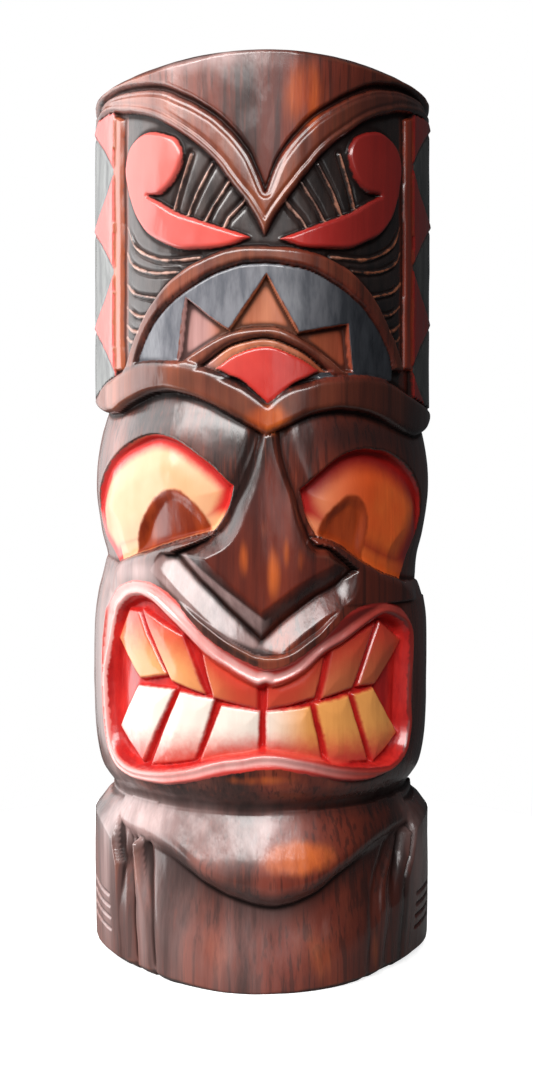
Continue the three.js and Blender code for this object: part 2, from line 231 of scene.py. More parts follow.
STAR = [(-47.5, 330), (-42.5, 370.5), (-19.5, 352), (0.5, 381.5), (17.8, 351), (44.5, 356.5), (46.5, 330)]
SMALL_ARCH_OUTER = smooth([
    (-50, 334), (-38, 342), (-20, 351), (0, 353.8), (13, 351.5), (27, 344), (38, 336), (46, 328),
])
SMALL_ARCH_INNER = smooth([
    (-38, 331), (-21, 342.5), (-9, 346.3), (0.5, 347.4), (12, 345), (24, 339), (37, 328),
])
LENS = (
    smooth([(-27, 331.5), (-15, 339), (0.5, 343), (15, 339), (29.5, 330.5)])
    + smooth([(29.5, 330.5), (14.5, 322.5), (0.8, 312.2)])
    + smooth([(0.8, 312.2), (-13, 324), (-27, 331.5)])
)
BROW_TOP = (
    smooth([
        (-100, 320), (-94, 327), (-86, 331.5), (-70, 337.3), (-50, 337), (-36, 333.8), (-16, 324),
        (0.8, 312.6),
    ])
    + smooth([
        (0.8, 312.6), (9, 319), (20, 323.5), (34, 327), (55, 328.5), (70, 326.5), (84, 320),
        (100, 314),
    ])
)
BROW_BOTTOM = (
    smooth([(-100, 319), (-97, 313.5), (-92, 310), (-86, 310)])
    + smooth([(-86, 310), (-76, 316), (-62, 320), (-48, 319), (-30, 311.5), (-14, 303), (0.3, 295.3)])
    + smooth([(0.3, 295.3), (14, 301.5), (28, 307), (45, 309.3), (62, 306.5), (81, 298.5)])
    + smooth([(81, 298.5), (88, 297), (95, 300), (100, 306)])
)

LEFT_EYE = (  # on the viewer's left
    smooth([
        (-85, 226.5), (-91, 240), (-93, 258), (-89, 276), (-79, 289.5), (-67, 296.3), (-56, 296.8),
        (-44, 292), (-29, 281), (-16, 269.5),
    ])
    + smooth([(-16, 269.5), (-18.5, 259.5), (-23.5, 250.5), (-28, 244.5)])
    + smooth([(-28, 244.5), (-45, 240.5), (-62, 235), (-85, 226.5)])
)
RIGHT_EYE = (
    smooth([
        (18, 267), (29, 277), (42, 286), (56, 289.3), (69, 287.5), (79, 280), (87, 266),
        (88.3, 250), (85, 233), (80.5, 216.5),
    ])
    + smooth([(80.5, 216.5), (66, 222), (52, 230.5), (40, 238.5), (27, 242.5)])
    + smooth([(27, 242.5), (21.5, 254), (18, 267)])
)
LEFT_IRIS = smooth([
    (-71, 231), (-69.5, 243), (-63.5, 257), (-55, 266), (-46, 266.5), (-37, 259), (-31, 250),
    (-28, 241)]) + [(-50, 236),
]
RIGHT_IRIS = smooth([
    (27, 240), (30.5, 251), (38, 260), (46.5, 264.5), (54, 259), (56, 246),
    (53.5, 226)]) + [(40, 234),
]
NOSE_LEFT = smooth([
    (-3.5, 300), (-5.5, 290), (-11.5, 274.5), (-17.7, 261.5), (-23, 249), (-31, 241.5), (-51, 233),
])
NOSE_RIGHT = smooth([(51, 223.5), (36, 236), (27, 238.5), (22, 250), (17.5, 266.5), (10.5, 286), (8, 300)])
NOSE_V = (
    smooth([(-51, 233), (-39, 220.5), (-28, 210), (-16.5, 199.5), (-2.2, 186.5)])
    + smooth([(-2.2, 186.5), (12, 198.5), (27, 209), (40, 216), (51, 223.5)])
)
NOSE = NOSE_LEFT + NOSE_V + NOSE_RIGHT
LIP_FACET = (  # its top runs on under the nose
    [(-57, 233), (-44, 233), (-26, 218), (0, 198), (27, 219), (46, 226), (54, 222)]
    + smooth([(49, 209), (38, 199), (28, 189.5), (15, 181), (4, 177.8), (-6, 179)])
    + smooth([(-6, 179), (-20, 186.5), (-32, 195), (-45, 206), (-56, 216), (-64, 223)])
)
NECK_LEFT = [(-100, 229), (-86, 226.5), (-62, 235), (-45, 240.5), (-28, 244.5)]
NECK_RIGHT = [(27, 242.5), (40, 238.5), (52, 230.5), (66, 222), (80.5, 216.5), (100, 213)]
LIP = smooth([
    (-89, 199), (-83, 211.5), (-75, 216), (-66, 217), (-57, 214.5), (-48, 207.5), (-41, 198.5),
    (-31, 188.5), (-18, 180), (-6, 174),     (2, 172.6), (14, 176.3), (27, 184), (37, 193), (46, 201),
    (58, 205.3), (70, 204.8), (79, 200), (83.5, 188), (84.5, 162),     (82.5, 136), (78.5, 121),
    (71, 113.5), (59, 109), (46, 109.6), (27, 114.5), (8, 119), (-11, 118), (-29, 113.6),
    (-48, 108.6),     (-64, 106.6), (-78, 108), (-86, 114), (-89, 125), (-90.5, 147), (-90.5, 174),
    (-89, 199),
], 4)
MOUTH = smooth([
    (-83.5, 192), (-80, 202), (-73, 208), (-64, 208), (-54, 201), (-44, 191.5), (-33, 180.5),
    (-18, 169.5), (-5.5, 163.5),     (0, 164.5), (6, 163.5), (20, 170), (31, 179), (42, 185),
    (54, 193.5), (64, 199), (73, 196.5), (79, 189.5), (80, 176), (79, 150),
    (78.5, 135),     (74.5, 121.5), (66, 116), (52, 116.5), (38, 119.5), (20, 124.5), (0, 127.3),
    (-22, 124), (-42, 118), (-62, 114), (-76, 115),     (-83, 122), (-86, 138), (-87, 165),
    (-83.5, 192),
], 4)
# each tooth's corners: top left, top right, bottom right, bottom left
UPPER_TEETH = [
    [(-76.3, 200), (-70.5, 200), (-54.5, 166), (-69.5, 162.4), (-82.5, 183)],
    [(-68, 201), (-45.5, 189), (-32.5, 157.5), (-51.5, 163)],
    [(-35.5, 183), (-4.2, 164), (-4, 150.5), (-28, 155.5)],
    [(1.2, 164), (32, 177.5), (27, 156), (1.2, 150.3)],
    [(36, 180), (61, 194), (48, 160), (30.5, 155)],
    [(64.5, 195), (77.5, 183), (61.5, 161), (51.5, 161)],
]
TOOTH_SPREAD = 1.1  # how far each tooth swells past its corners
LOWER_TEETH = [
    [(-70.5, 158.3), (-49.5, 158.5), (-67.5, 117), (-81.6, 134)],
    [(-46.5, 157.5), (-27.5, 154.5), (-37.5, 122.5), (-63, 116.5)],
    [(-23.8, 151.3), (-3, 149), (-3.8, 127.5), (-35, 121.8)],
    [(0.6, 149), (24.8, 151.3), (31.5, 121), (0.4, 127.5)],
    [(27.8, 152.3), (46, 155.5), (56.8, 119.3), (35.5, 119.8)],
    [(48.8, 156), (60.5, 158.6), (75, 131.8), (60, 118.6)],
]

CHEST_EDGE = smooth([
    (-100, 84), (-84, 76.5), (-74, 75.5), (-64, 73), (-48, 67), (-33, 58.5), (-16, 52), (0, 48.3),
    (9, 48), (25, 52), (42, 62.5), (58, 70.5), (73, 75), (100, 80),
])
ARM_STRIPS = [
    smooth([(-74.5, 77), (-73.5, 66), (-72, 50), (-70, 30), (-69, -2)]),
    smooth([(80, 78), (76, 66), (69, 50), (66, 30), (64, -2)]),
]
ELBOWS = [
    [(-101, 92), (-87, 88), (-85.5, 74), (-84.5, 66), (-82.5, 58), (-82, -5), (-101, -5)],
    [(101, 92), (88, 88), (86, 73), (84, 62), (80, 52), (79, -5), (101, -5)],
]
ELBOW_GAPS = [
    [(-81.5, 84), (-81, 62), (-77, 44), (-75, -5)],
    [(82, 84), (80, 62), (74.5, 44), (71, -5)],
]
FINGER_HEIGHTS = (38.5, 32, 25.5, 19)

# the zigzag along the log's edges
ZIGZAG_Z = 446.5
ZIGZAG_HALF_REPEAT = 28.5
ZIGZAG_INNER_X = 86.2
ZIGZAG_WIDTH = 13.5

# the gap between the rows of teeth, and the lines of their roots
BITE = [
    (-100, 158), (-70, 158.5), (-49, 158), (-28, 154.5), (0, 149.5), (26, 153), (47, 156.5), (60, 159),
    (100, 160),
]
UPPER_ROOTS = [
    (-100, 200), (-80, 203), (-60, 200), (-45, 191), (-31, 178), (-14, 166), (0, 163), (18, 168),
    (31, 178), (48, 190), (65, 196), (100, 190),
]
LOWER_ROOTS = [(-100, 118), (-62, 115), (-35, 120), (0, 127), (33, 120), (58, 117), (100, 118)]


# ---- carving ----
# layers, as distances from the axis of the log
R_RIB = 99.8
R_ARCH = 99.2
R_SMALL_ARCH = 98.4
R_LENS = 98.6
R_PAINTED = 98.2
R_COLUMN = 97.0
R_FAN = 97.2
R_UNDER_ARCH = 96.0
R_FIELD = 94.6
R_STAR = 92.9
R_EYE = 90.0
R_IRIS = 88.6
R_NOSE = 98.2
R_FACET = 98.7
R_CREASE = 91.2
R_FACE = 97.5  # where the outlines of the nose and of the facets were drawn
R_MOUTH = 90.0
R_TEETH = 93.4
R_CHEST = 100.2
R_NECK = 88.2
R_BELLY = 92.4
R_ELBOW_LEFT = 99.3
R_ELBOW_RIGHT = 98.4
R_STRIP = 97.8

NECK_Z = 93
SHOULDER_Z = 66  # above it the elbows follow the chest's slope
CHEST_HALF_ANGLE = 1.1
UNDERCUT = 4  # the height over which the surface turns in below the chest

# the turned shape under the relief, as [z, radius]
BODY_PROFILE = [
    (0, 99.6), (30, 99.8), (60, 99.6), (78, 99.4), (84, 97.4), (88, 93), (91, 89.2), (94, 88), (98, 89),
    (103, 92.6), (110, 96.2), (126, 99), (150, 100), (188, 100), (206, 98), (222, 95), (240, 94),
]
EYE_PROFILE = [
    (210, 90), (228, 91.5), (243, 95), (262, 98), (277, 98.2), (290, 96.8), (300, 95), (308, 92.8),
    (318, 90.5), (345, 90),
]
TOP_BEVEL = (1.6, 6.0, 2.4, 10.0)  # height in front, more at the sides, depth in front, more at the sides
BASE_BEVEL = (0.8, 5.0, 1.0, 6.5)

paint = {}  # by name, how deep inside its outlines each grid point lies


def painted(name, depth):
    """Adds a shape, as its depth inside the outline, to the paint of that name."""
    paint[name] = np.maximum(paint.get(name, np.full(S.shape, -FAR)), depth)


def unpainted(names, depth):
    """Takes a shape away from the paints of those names."""
    for name in names:
        paint[name] = np.minimum(paint[name], -depth)


def both(outline):
    return [outline, mirrored(outline)]


def between(lower, upper):
    """A closed outline between two lines that run the same way."""
    return list(lower) + list(reversed(upper))


def hump(distance, width):
    """1 at distance 0, falling off on both sides over about the width."""
    return np.exp(-((distance / width) ** 2))


def lay(r, depth, level, bevel, shape=round_over):
    """Brings the surface to a level inside an outline, over a bevel of the given width."""
    return np.where(depth > 0, mix(r, level, shape(depth / bevel)), r)


def score(r, distance, width, depth):
    """A V cut along a line."""
    return r - depth * np.clip(1 - distance / width, 0, 1) ** 1.3


def profile(table):
    """The radius at every height, on a smooth curve through the [z, radius] points."""
    curve = np.array(smooth(table, 8))
    return np.interp(ZW, curve[:, 0], curve[:, 1])


def bevelled(from_end, bevel):
    """How much the worn edge takes off near an end of the block; the sides are worn the most."""
    at_side = ramp(np.abs(PHI) / 0.9)
    height = bevel[0] + bevel[1] * at_side
    depth = bevel[2] + bevel[3] * at_side
    return depth * np.clip(1 - from_end / height, 0, 1) ** 1.25


def chest_radius(z, edge):
    """The sloping top of the chest, which rolls under at its lower edge."""
    slope_height = mix(29, 15, ramp((np.abs(PHI) - 0.85) / 0.45))  # steeper at the shoulders
    down = (NECK_Z - z) / slope_height
    eased = np.where(down > 1.25, 1, down - np.clip(down - 0.75, 0, 0.5) ** 2)
    rolled = 4.4 * np.clip(1 - (z - edge) / 9, 0, 1) ** 2
    return R_NECK + (R_CHEST - R_NECK) * np.clip(eased, 0, 1) - rolled


def carve_base(r):
    """The chest that hangs like a shelf, the arms at the sides and the plain belly between."""
    edge = height_of(CHEST_EDGE)
    below = edge - ZW
    under = ramp(below / UNDERCUT)
    belly = R_BELLY + 7.0 * ramp((below - 2) / 50) - 1.2 * np.cos(PHI)
    under_edge = mix(chest_radius(edge, edge), belly, under)
    r = np.where((below > 0) & (ZW < NECK_Z), np.minimum(r, under_edge), r)
    chest = chest_radius(ZW, edge)
    at_side = np.minimum(chest, np.maximum(r, R_NECK))
    on_chest = (below <= 0) & (ZW < NECK_Z + 1)
    r = np.where(on_chest, np.where(np.abs(PHI) < CHEST_HALF_ANGLE, chest, at_side), r)
    r = carve_elbows(r, under)
    r = carve_strips(r, under)
    planed = ramp((45 - ZW) / 45) * hump(np.abs(PHI) - 0.95, 0.42)  # the arms taper inwards
    return r - 2.5 * planed


RIGHT = SW > 0  # the viewer's right
RIGHT_CUT_SHARE = np.where(RIGHT, 0.35, 1.0)  # the right arm is cut less deep


def carve_elbows(r, under):
    for gap in ELBOW_GAPS:
        r = mix(r, score(r, near(gap), width=4.5, depth=2.2), under * RIGHT_CUT_SHARE)
    shoulder = chest_radius(ZW, 0.0)
    wall = np.where(RIGHT, 4.5, 2.0)
    for outline in ELBOWS:
        depth = depth_in(outline)
        face = np.where(RIGHT, R_ELBOW_RIGHT, R_ELBOW_LEFT) - 0.6 * ramp(1 - depth / 2.5)
        level = np.where(ZW > SHOULDER_Z, np.minimum(face, shoulder), face)
        skirt = np.clip(1 + depth / 7, 0, 1) * under * RIGHT  # on the right the ground rises to the elbow
        r = np.where(depth < 0, mix(r, np.maximum(r, 97.6), skirt), r)
        r = np.where(depth > 0, mix(np.minimum(r, 99.4), level, ramp(depth / wall)), r)
    return r


def carve_strips(r, under):
    """The thin strip in front of each elbow, and the fingers' notches at the log's edges."""
    half_width = 4.0 - 1.4 * ramp((ZW - 30) / 50)
    for strip in ARM_STRIPS:
        d = near(strip)
        on_strip = ramp((half_width - d) / np.where(RIGHT, 3.0, 2.0)) * under
        level = np.where(RIGHT, np.minimum(r + 1.2, 98), R_STRIP)
        r = mix(r, level - 0.5 * (d / 4) ** 2, on_strip)
        r = r - 3.0 * RIGHT_CUT_SHARE * under * hump(d - half_width - 3.4, 2.6)
    for z in FINGER_HEIGHTS:
        for notch in both([(-99, z + 1.5), (-93, z + 0.2), (-88.5, z)]):
            r = score(r, near(notch), width=1.4, depth=1.7)
    return r


def carve_headdress(r):
    above = ZW - height_of(BROW_BOTTOM)
    r = np.where(above > 0, mix(np.minimum(r, R_FIELD), R_FIELD, round_over(above / 5)), r)
    above_ribs = ZW - height_of(RIB_TOP)
    leaning = 96.0 + 3.4 * np.clip((ZW - 425) / 75, 0, 1)
    r = np.where(above_ribs > 0, mix(r, leaning, ramp((above_ribs - 0.8) / 3.5)), r)
    r = carve_feathers(r, above)
    for outline in both(HOOK):
        depth = depth_in(outline, 98)
        r = lay(r, depth, R_PAINTED, 2.4)
        painted("red", depth - 0.3)
    for outline in both(COLUMN):
        depth = depth_in(outline, 98)
        r = lay(r, depth, R_COLUMN, 2.2)
        painted("orange", depth)
    painted("black", np.minimum(92 - np.abs(SW), in_headdress()))
    return carve_ribs(carve_fan(carve_zigzag(r)))


def in_headdress():
    """How far inside the field between the ribs and the brow each point lies."""
    return np.minimum(height_of(RIB_BOTTOM) - ZW, ZW - height_of(BROW_TOP))


def carve_feathers(r, above):
    """Feathers, and scallops under the hook: slats parted by fine ridges."""
    vein = np.full(S.shape, FAR)
    for cut in FEATHER_CUTS + SCALLOP_CUTS:
        for line in both(cut):
            vein = np.minimum(vein, near(line, 97))
    slat = R_FIELD - 1.0 * hump(vein - 1.7, 1.2)
    slat = mix(slat, R_FIELD + 0.7, ramp(1.25 - vein))
    slat = mix(R_FIELD, slat, ramp((93 - np.abs(SW)) / 8))  # the slats fade before they meet the columns
    painted("vein", 0.55 - vein + 0.5 * noise(6, 6))
    return np.where((vein < FAR - 4) & (above > 0), slat, r)


def carve_zigzag(r):
    """Red and grey points along the log's edges, level with the ribs at the figure's sides."""
    out = LOG_RADIUS * np.sin(np.minimum(np.abs(SW) / LOG_RADIUS, math.pi / 2)) - ZIGZAG_INNER_X
    rise = np.abs(((ZW - ZIGZAG_Z - 2.5 * RIGHT) / ZIGZAG_HALF_REPEAT) % 2 - 1)  # 1 at the grey points
    on_grey = (rise + out / ZIGZAG_WIDTH - 1) * 18
    in_band = np.minimum(np.abs(SW) - 104.5, in_headdress())
    flush = 1.9 * ramp((np.abs(SW) - 112) / 34)
    level = mix(R_PAINTED - 0.9, R_PAINTED, ramp((1.0 - on_grey) / 2.2)) + flush
    painted("red", np.minimum(0.4 - on_grey, in_band))
    painted("slate", np.minimum(on_grey - 0.4, in_band))
    return np.where(in_band > 0, level - 0.8 * hump(on_grey, 1.0), r)


def raise_lens(r):
    lens = depth_in(LENS, 98)
    painted("red", lens - 0.2)
    return lay(r, lens, R_LENS, 2.6), lens


def carve_fan(r):
    """The fan under the arch, its sunk star, and the small arch over the lens."""
    fan = depth_in(between(ARCH_INNER, [(x, 326) for x, _ in ARCH_INNER]), 98)
    r = lay(r, fan, R_FAN, 1.2)
    star = depth_in(STAR, 96)
    r = np.where(star > 0, mix(R_FAN, R_STAR, ramp(star / 1.3)), r)
    painted("blue", np.minimum(fan - 0.4, -star - 0.2))
    painted("star", np.minimum(star, fan))
    arches = ((ARCH_OUTER, ARCH_INNER, R_ARCH), (SMALL_ARCH_OUTER, SMALL_ARCH_INNER, R_SMALL_ARCH))
    for outer, inner, level in arches:
        depth = depth_in(between(outer, inner), 98.5)
        r = lay(r, depth, level, 3.0)
        unpainted(("blue", "star", "black"), depth)
        painted("rib", depth)
    unpainted(("black",), fan)
    under_arch = between(SMALL_ARCH_INNER, [(37, 318), (0, 300), (-38, 318)])
    r, lens = raise_lens(lay(r, depth_in(under_arch), R_UNDER_ARCH, 1.5))
    unpainted(("blue",), lens + 1)
    return r


def carve_ribs(r):
    """The two great ribs, grooved along both edges, and the brow band with the lens at its middle."""
    rib = depth_in(between(RIB_TOP, RIB_BOTTOM))
    r = lay(r, rib, R_RIB, 3.6)
    for line, from_edge in ((RIB_BOTTOM, 4.6), (RIB_TOP, 3.0)):
        r = np.where(rib > 0, r - 0.9 * hump(near(line) - from_edge, 0.9), r)
    brow = depth_in(between(BROW_TOP, BROW_BOTTOM))
    r = lay(r, brow, R_RIB, 4.6)
    for depth in (rib, brow):
        unpainted(("red", "slate", "blue", "orange", "star"), depth)
        painted("rib", depth)
    r, lens = raise_lens(r)
    unpainted(("rib",), lens)
    return r


def carve_eyes(r):
    """The cheeks' upper edge, the band between cheeks and brow, and the eyes in it."""
    neck = height_of(NECK_LEFT + NECK_RIGHT, 97)
    rounding = 6 + 15 * ramp((np.abs(SW) - 92) / 30)  # crisp in front and round at the sides
    cheek_face = np.maximum(r, R_FACE - 5 * ramp((np.abs(SW) - 100) / 40))
    cheek = mix(91.2, cheek_face, round_over((neck - ZW) / rounding))
    r = np.where((ZW > 205) & (ZW <= neck), cheek, r)
    r = np.where((ZW > neck) & (ZW < height_of(BROW_BOTTOM) + 2), profile(EYE_PROFILE), r)
    for outline, iris in ((LEFT_EYE, LEFT_IRIS), (RIGHT_EYE, RIGHT_IRIS)):
        depth = depth_in(outline, 95.5)
        ball = R_EYE + 3.2 * ramp(depth / 22) + 4.5 * ramp((np.abs(PHI) - 0.75) / 0.4)
        r = np.where(depth > 0, np.minimum(r, mix(r, ball, ramp((depth + 0.6) / 3.4))), r)
        scoop = depth_in(iris, 92)
        floor = R_IRIS + 3.4 * ramp((ZW - 238) / 30)
        r = np.where((scoop > 0) & (depth > 0), np.minimum(r, mix(r, floor, ramp(scoop / 7))), r)
        painted("eye", depth - 0.5)
        painted("iris", np.minimum(scoop, depth - 0.4))
    return r


def carve_nose(r):
    """The two facets of the upper lip, which meet the nose in a crease, and the nose itself."""
    left, right, under = (near(line, R_FACE) for line in (NOSE_LEFT, NOSE_RIGHT, NOSE_V))
    facet = depth_in(LIP_FACET, R_FACE)
    flat = mix(R_CREASE, R_FACET, np.clip(under / 15, 0, 1))
    ends = ramp((SW + 68) / 9) * ramp((57 - SW) / 14)  # both facets run out softly
    r = np.where(facet > 0, mix(r, flat, ramp(facet / 1.2) * ends), r)
    painted("facet", facet)

    nose = depth_in(NOSE, R_FACE)
    beside = np.minimum(left, right)
    valley = 2.6 * hump(beside, 4.5) * ramp((ZW - 236) / 10)
    r = r - valley * (nose < 0) * ramp((308 - ZW) / 10)
    tall = R_NOSE + 1.8 * ramp((292 - ZW) / 60)
    tip = mix(R_CREASE, tall, np.clip(under / 13.5, 0, 1) ** 0.75)
    lit_flank = 4.5 + 7 * ramp((300 - ZW) / 45)  # the flank that faces the light is the broader one
    flank = np.minimum(left / lit_flank, right / 6.5)
    bridge = mix(91.0, tall, np.clip(flank, 0, 1) ** 0.8)
    ground = mix(80, r - valley - 0.7 * beside, ramp((ZW - 233) / 14))
    painted("nose", nose)
    return np.where(nose > 0, np.maximum(np.minimum(tip, bridge), ground), r)


def carve_mouth(r):
    """The rolled lip, the sunk mouth and both rows of teeth."""
    lip = depth_in(LIP, 98)
    mouth = depth_in(MOUTH, 96)
    roll = 2.2 * hump(mouth + 1.6, 2.0)
    r = np.where(lip > 0, mix(r, mix(98.0, 95.2, ramp(lip / 9)) + roll, ramp(lip / 1.4)), r)
    r = lay(r, mouth, R_MOUTH, 4.0, ramp)
    painted("red", lip)
    painted("red_lip", lip)
    painted("mouth", mouth)
    for name, row in (("upper", UPPER_TEETH), ("lower", LOWER_TEETH)):
        for corners in row:
            depth = depth_in(corners, 94.5) + TOOTH_SPREAD
            bulge = R_TEETH + 1.0 * ramp(depth / 10)
            tooth = mix(R_TEETH - 3.4, bulge, round_over(depth / 2.2))
            r = np.where(depth > 0, np.maximum(r, tooth), r)
            painted(name, depth)
    return r


def carved_radius():
    """The carved surface's distance from the axis of the log, over the grid."""
    r = profile(BODY_PROFILE)
    r = r - np.where(RIGHT, 2.6, 0.4) * ramp(np.abs(PHI)) * ramp((300 - ZW) / 60)
    for carve in (carve_base, carve_eyes, carve_nose, carve_mouth, carve_headdress):
        r = carve(r)
    r = r - bevelled(HEIGHT - ZW, TOP_BEVEL) - bevelled(ZW, BASE_BEVEL)
    return np.minimum(r, LOG_RADIUS + 0.8)


# ---- the block's mesh ----
def blurred(field, size):
    """The field smoothed over about size millimetres."""
    for axis, step in ((0, Z_LINE[1] - Z_LINE[0]), (1, S_LINE[1] - S_LINE[0])):
        reach = max(1, int(size / step))
        kernel = np.hanning(2 * reach + 3)[1:-1]
        kernel /= kernel.sum()
        pad = [(0, 0), (0, 0)]
        pad[axis] = (reach, reach)
        padded_field = np.pad(field, pad, mode="edge")
        count = field.shape[axis]
        shifted = (np.take(padded_field, np.arange(i, i + count), axis=axis) for i in range(len(kernel)))
        field = sum(k * part for k, part in zip(kernel, shifted))
    return field


def back_points(radius):
    """Points across the sawn back, from the +X edge to the -X edge, for every row of the grid."""
    count = int(2 * LOG_RADIUS / STEP_BACK)
    share = np.linspace(0, 1, count + 2)[1:-1]
    x = radius[:, -1:] * (1 - share) - radius[:, :1] * share
    z = np.repeat(Z_LINE[:, None], count, axis=1)
    chatter = 0.12 * np.sin(z / 1.9 + x / 37) + 0.1 * np.sin(z / 13 + x / 60)
    return np.stack([x, BACK_Y - 0.12 + 0.5 * chatter, z], axis=-1)


def end_cap(rim, height_step):
    """Rings of points that close one end, from its rim inwards, and the middle point."""
    middle = np.array([0.0, BACK_Y - 0.42 * LOG_RADIUS, rim[0, 2] + height_step])
    rings = []
    for share in np.linspace(0, 1, 26)[1:-1]:
        ring = rim + (middle - rim) * share
        ring[:, 2] = rim[0, 2] + height_step * ramp(share / 0.12)
        rings.append(ring)
    return rings, middle


FRONT, BACK, UNDER, TOP = range(4)
ISLAND_GAP = 5.0


def unrolled(points, corners, sides, around):
    """Flat coordinates in four islands, for each face corner: the front's skin, the back and both ends."""
    x, y, z = points[corners].T / MM
    skin = S_LINE[np.minimum(corners % around, len(S_LINE) - 1)] + HALF_SKIN
    second_column = 2 * HALF_SKIN + ISLAND_GAP
    on_top = 3 * LOG_RADIUS + ISLAND_GAP + x
    u = np.choose(sides, [skin, second_column + LOG_RADIUS - x, LOG_RADIUS + x, on_top])
    v = np.where(sides < UNDER, z, HEIGHT + ISLAND_GAP + BACK_Y - y)
    return (np.stack([u, v], axis=1) / (HEIGHT + LOG_RADIUS + 2 * ISLAND_GAP)).astype(np.float32)


def block_mesh(radius, point_data):
    """One closed mesh: the carved front, the sawn back and the two ends."""
    front = np.stack([radius * np.sin(PHI), BACK_Y - radius * np.cos(PHI), Z], axis=-1)
    rows = np.concatenate([front, back_points(radius)], axis=1)
    around = rows.shape[1]
    points = [rows.reshape(-1, 3)]
    loops = [np.arange(around) + i * around for i in range(len(Z_LINE))]
    quads = []

    def strip(low, high):
        quads.append(np.stack([low, np.roll(low, -1), np.roll(high, -1), high], axis=1))

    for low, high in zip(loops, loops[1:]):
        strip(low, high)
    total = len(Z_LINE) * around
    triangles = []
    for end, step, upward in ((0, 0.25, False), (-1, -0.25, True)):
        rings, middle = end_cap(rows[end], step)
        previous = loops[end]
        for ring in rings:
            points.append(ring)
            loop = np.arange(around) + total
            total += around
            strip(*((previous, loop) if upward else (loop, previous)))
            previous = loop
        points.append(middle[None])
        corners = [previous, np.roll(previous, -1), np.full(around, total)]
        triangles.append(np.stack(corners if upward else corners[::-1], axis=1))
        total += 1
    points = np.concatenate(points) * MM
    quads, triangles = np.concatenate(quads), np.concatenate(triangles)

    mesh = bpy.data.meshes.new("carved_surface")
    mesh.vertices.add(len(points))
    mesh.vertices.foreach_set("co", points.astype(np.float32).ravel())
    corner_list = np.concatenate([quads.ravel(), triangles.ravel()]).astype(np.int32)
    mesh.loops.add(len(corner_list))
    mesh.loops.foreach_set("vertex_index", corner_list)
    starts = np.concatenate([np.arange(len(quads)) * 4, len(quads) * 4 + np.arange(len(triangles)) * 3])
    mesh.polygons.add(len(starts))
    mesh.polygons.foreach_set("loop_start", starts.astype(np.int32))
    mesh.polygons.foreach_set("use_smooth", np.ones(len(starts), bool))
    side = np.where(np.arange(around) < len(S_LINE) - 1, FRONT, BACK)
    cap = len(quads) - len(side) * (len(Z_LINE) - 1)
    sides = np.concatenate([np.tile(side, len(Z_LINE) - 1), np.repeat([UNDER, TOP], cap // 2)])
    sides = np.concatenate([sides, np.repeat([UNDER, TOP], around)])
    mesh.polygons.foreach_set("material_index", np.minimum(sides, UNDER).astype(np.int32))
    mesh.update(calc_edges=True)
    mesh.validate()
    corner_sides = np.repeat(sides, np.where(np.arange(len(starts)) < len(quads), 4, 3))
    islands = mesh.uv_layers.new(name="OFBake")
    islands.data.foreach_set("uv", unrolled(points, corner_list, corner_sides, around).ravel())

    extra = around - len(S_LINE)
    for name, (values, elsewhere) in point_data.items():
        values = np.concatenate([values, np.full((len(Z_LINE), extra), elsewhere)], axis=1).ravel()
        values = np.concatenate([values, np.full(len(points) - len(values), elsewhere)])
        mesh.attributes.new(name, "FLOAT", "POINT").data.foreach_set("value", values.astype(np.float32))
    return mesh


# ---- materials ----
def on_screen(red, green, blue):
    """A colour given as it looks on a screen, 0 to 255, as linear light with alpha."""
    linear = [((c / 255 + 0.055) / 1.055) ** 2.4 if c > 10 else c / 3300 for c in (red, green, blue)]
    return (*linear, 1.0)


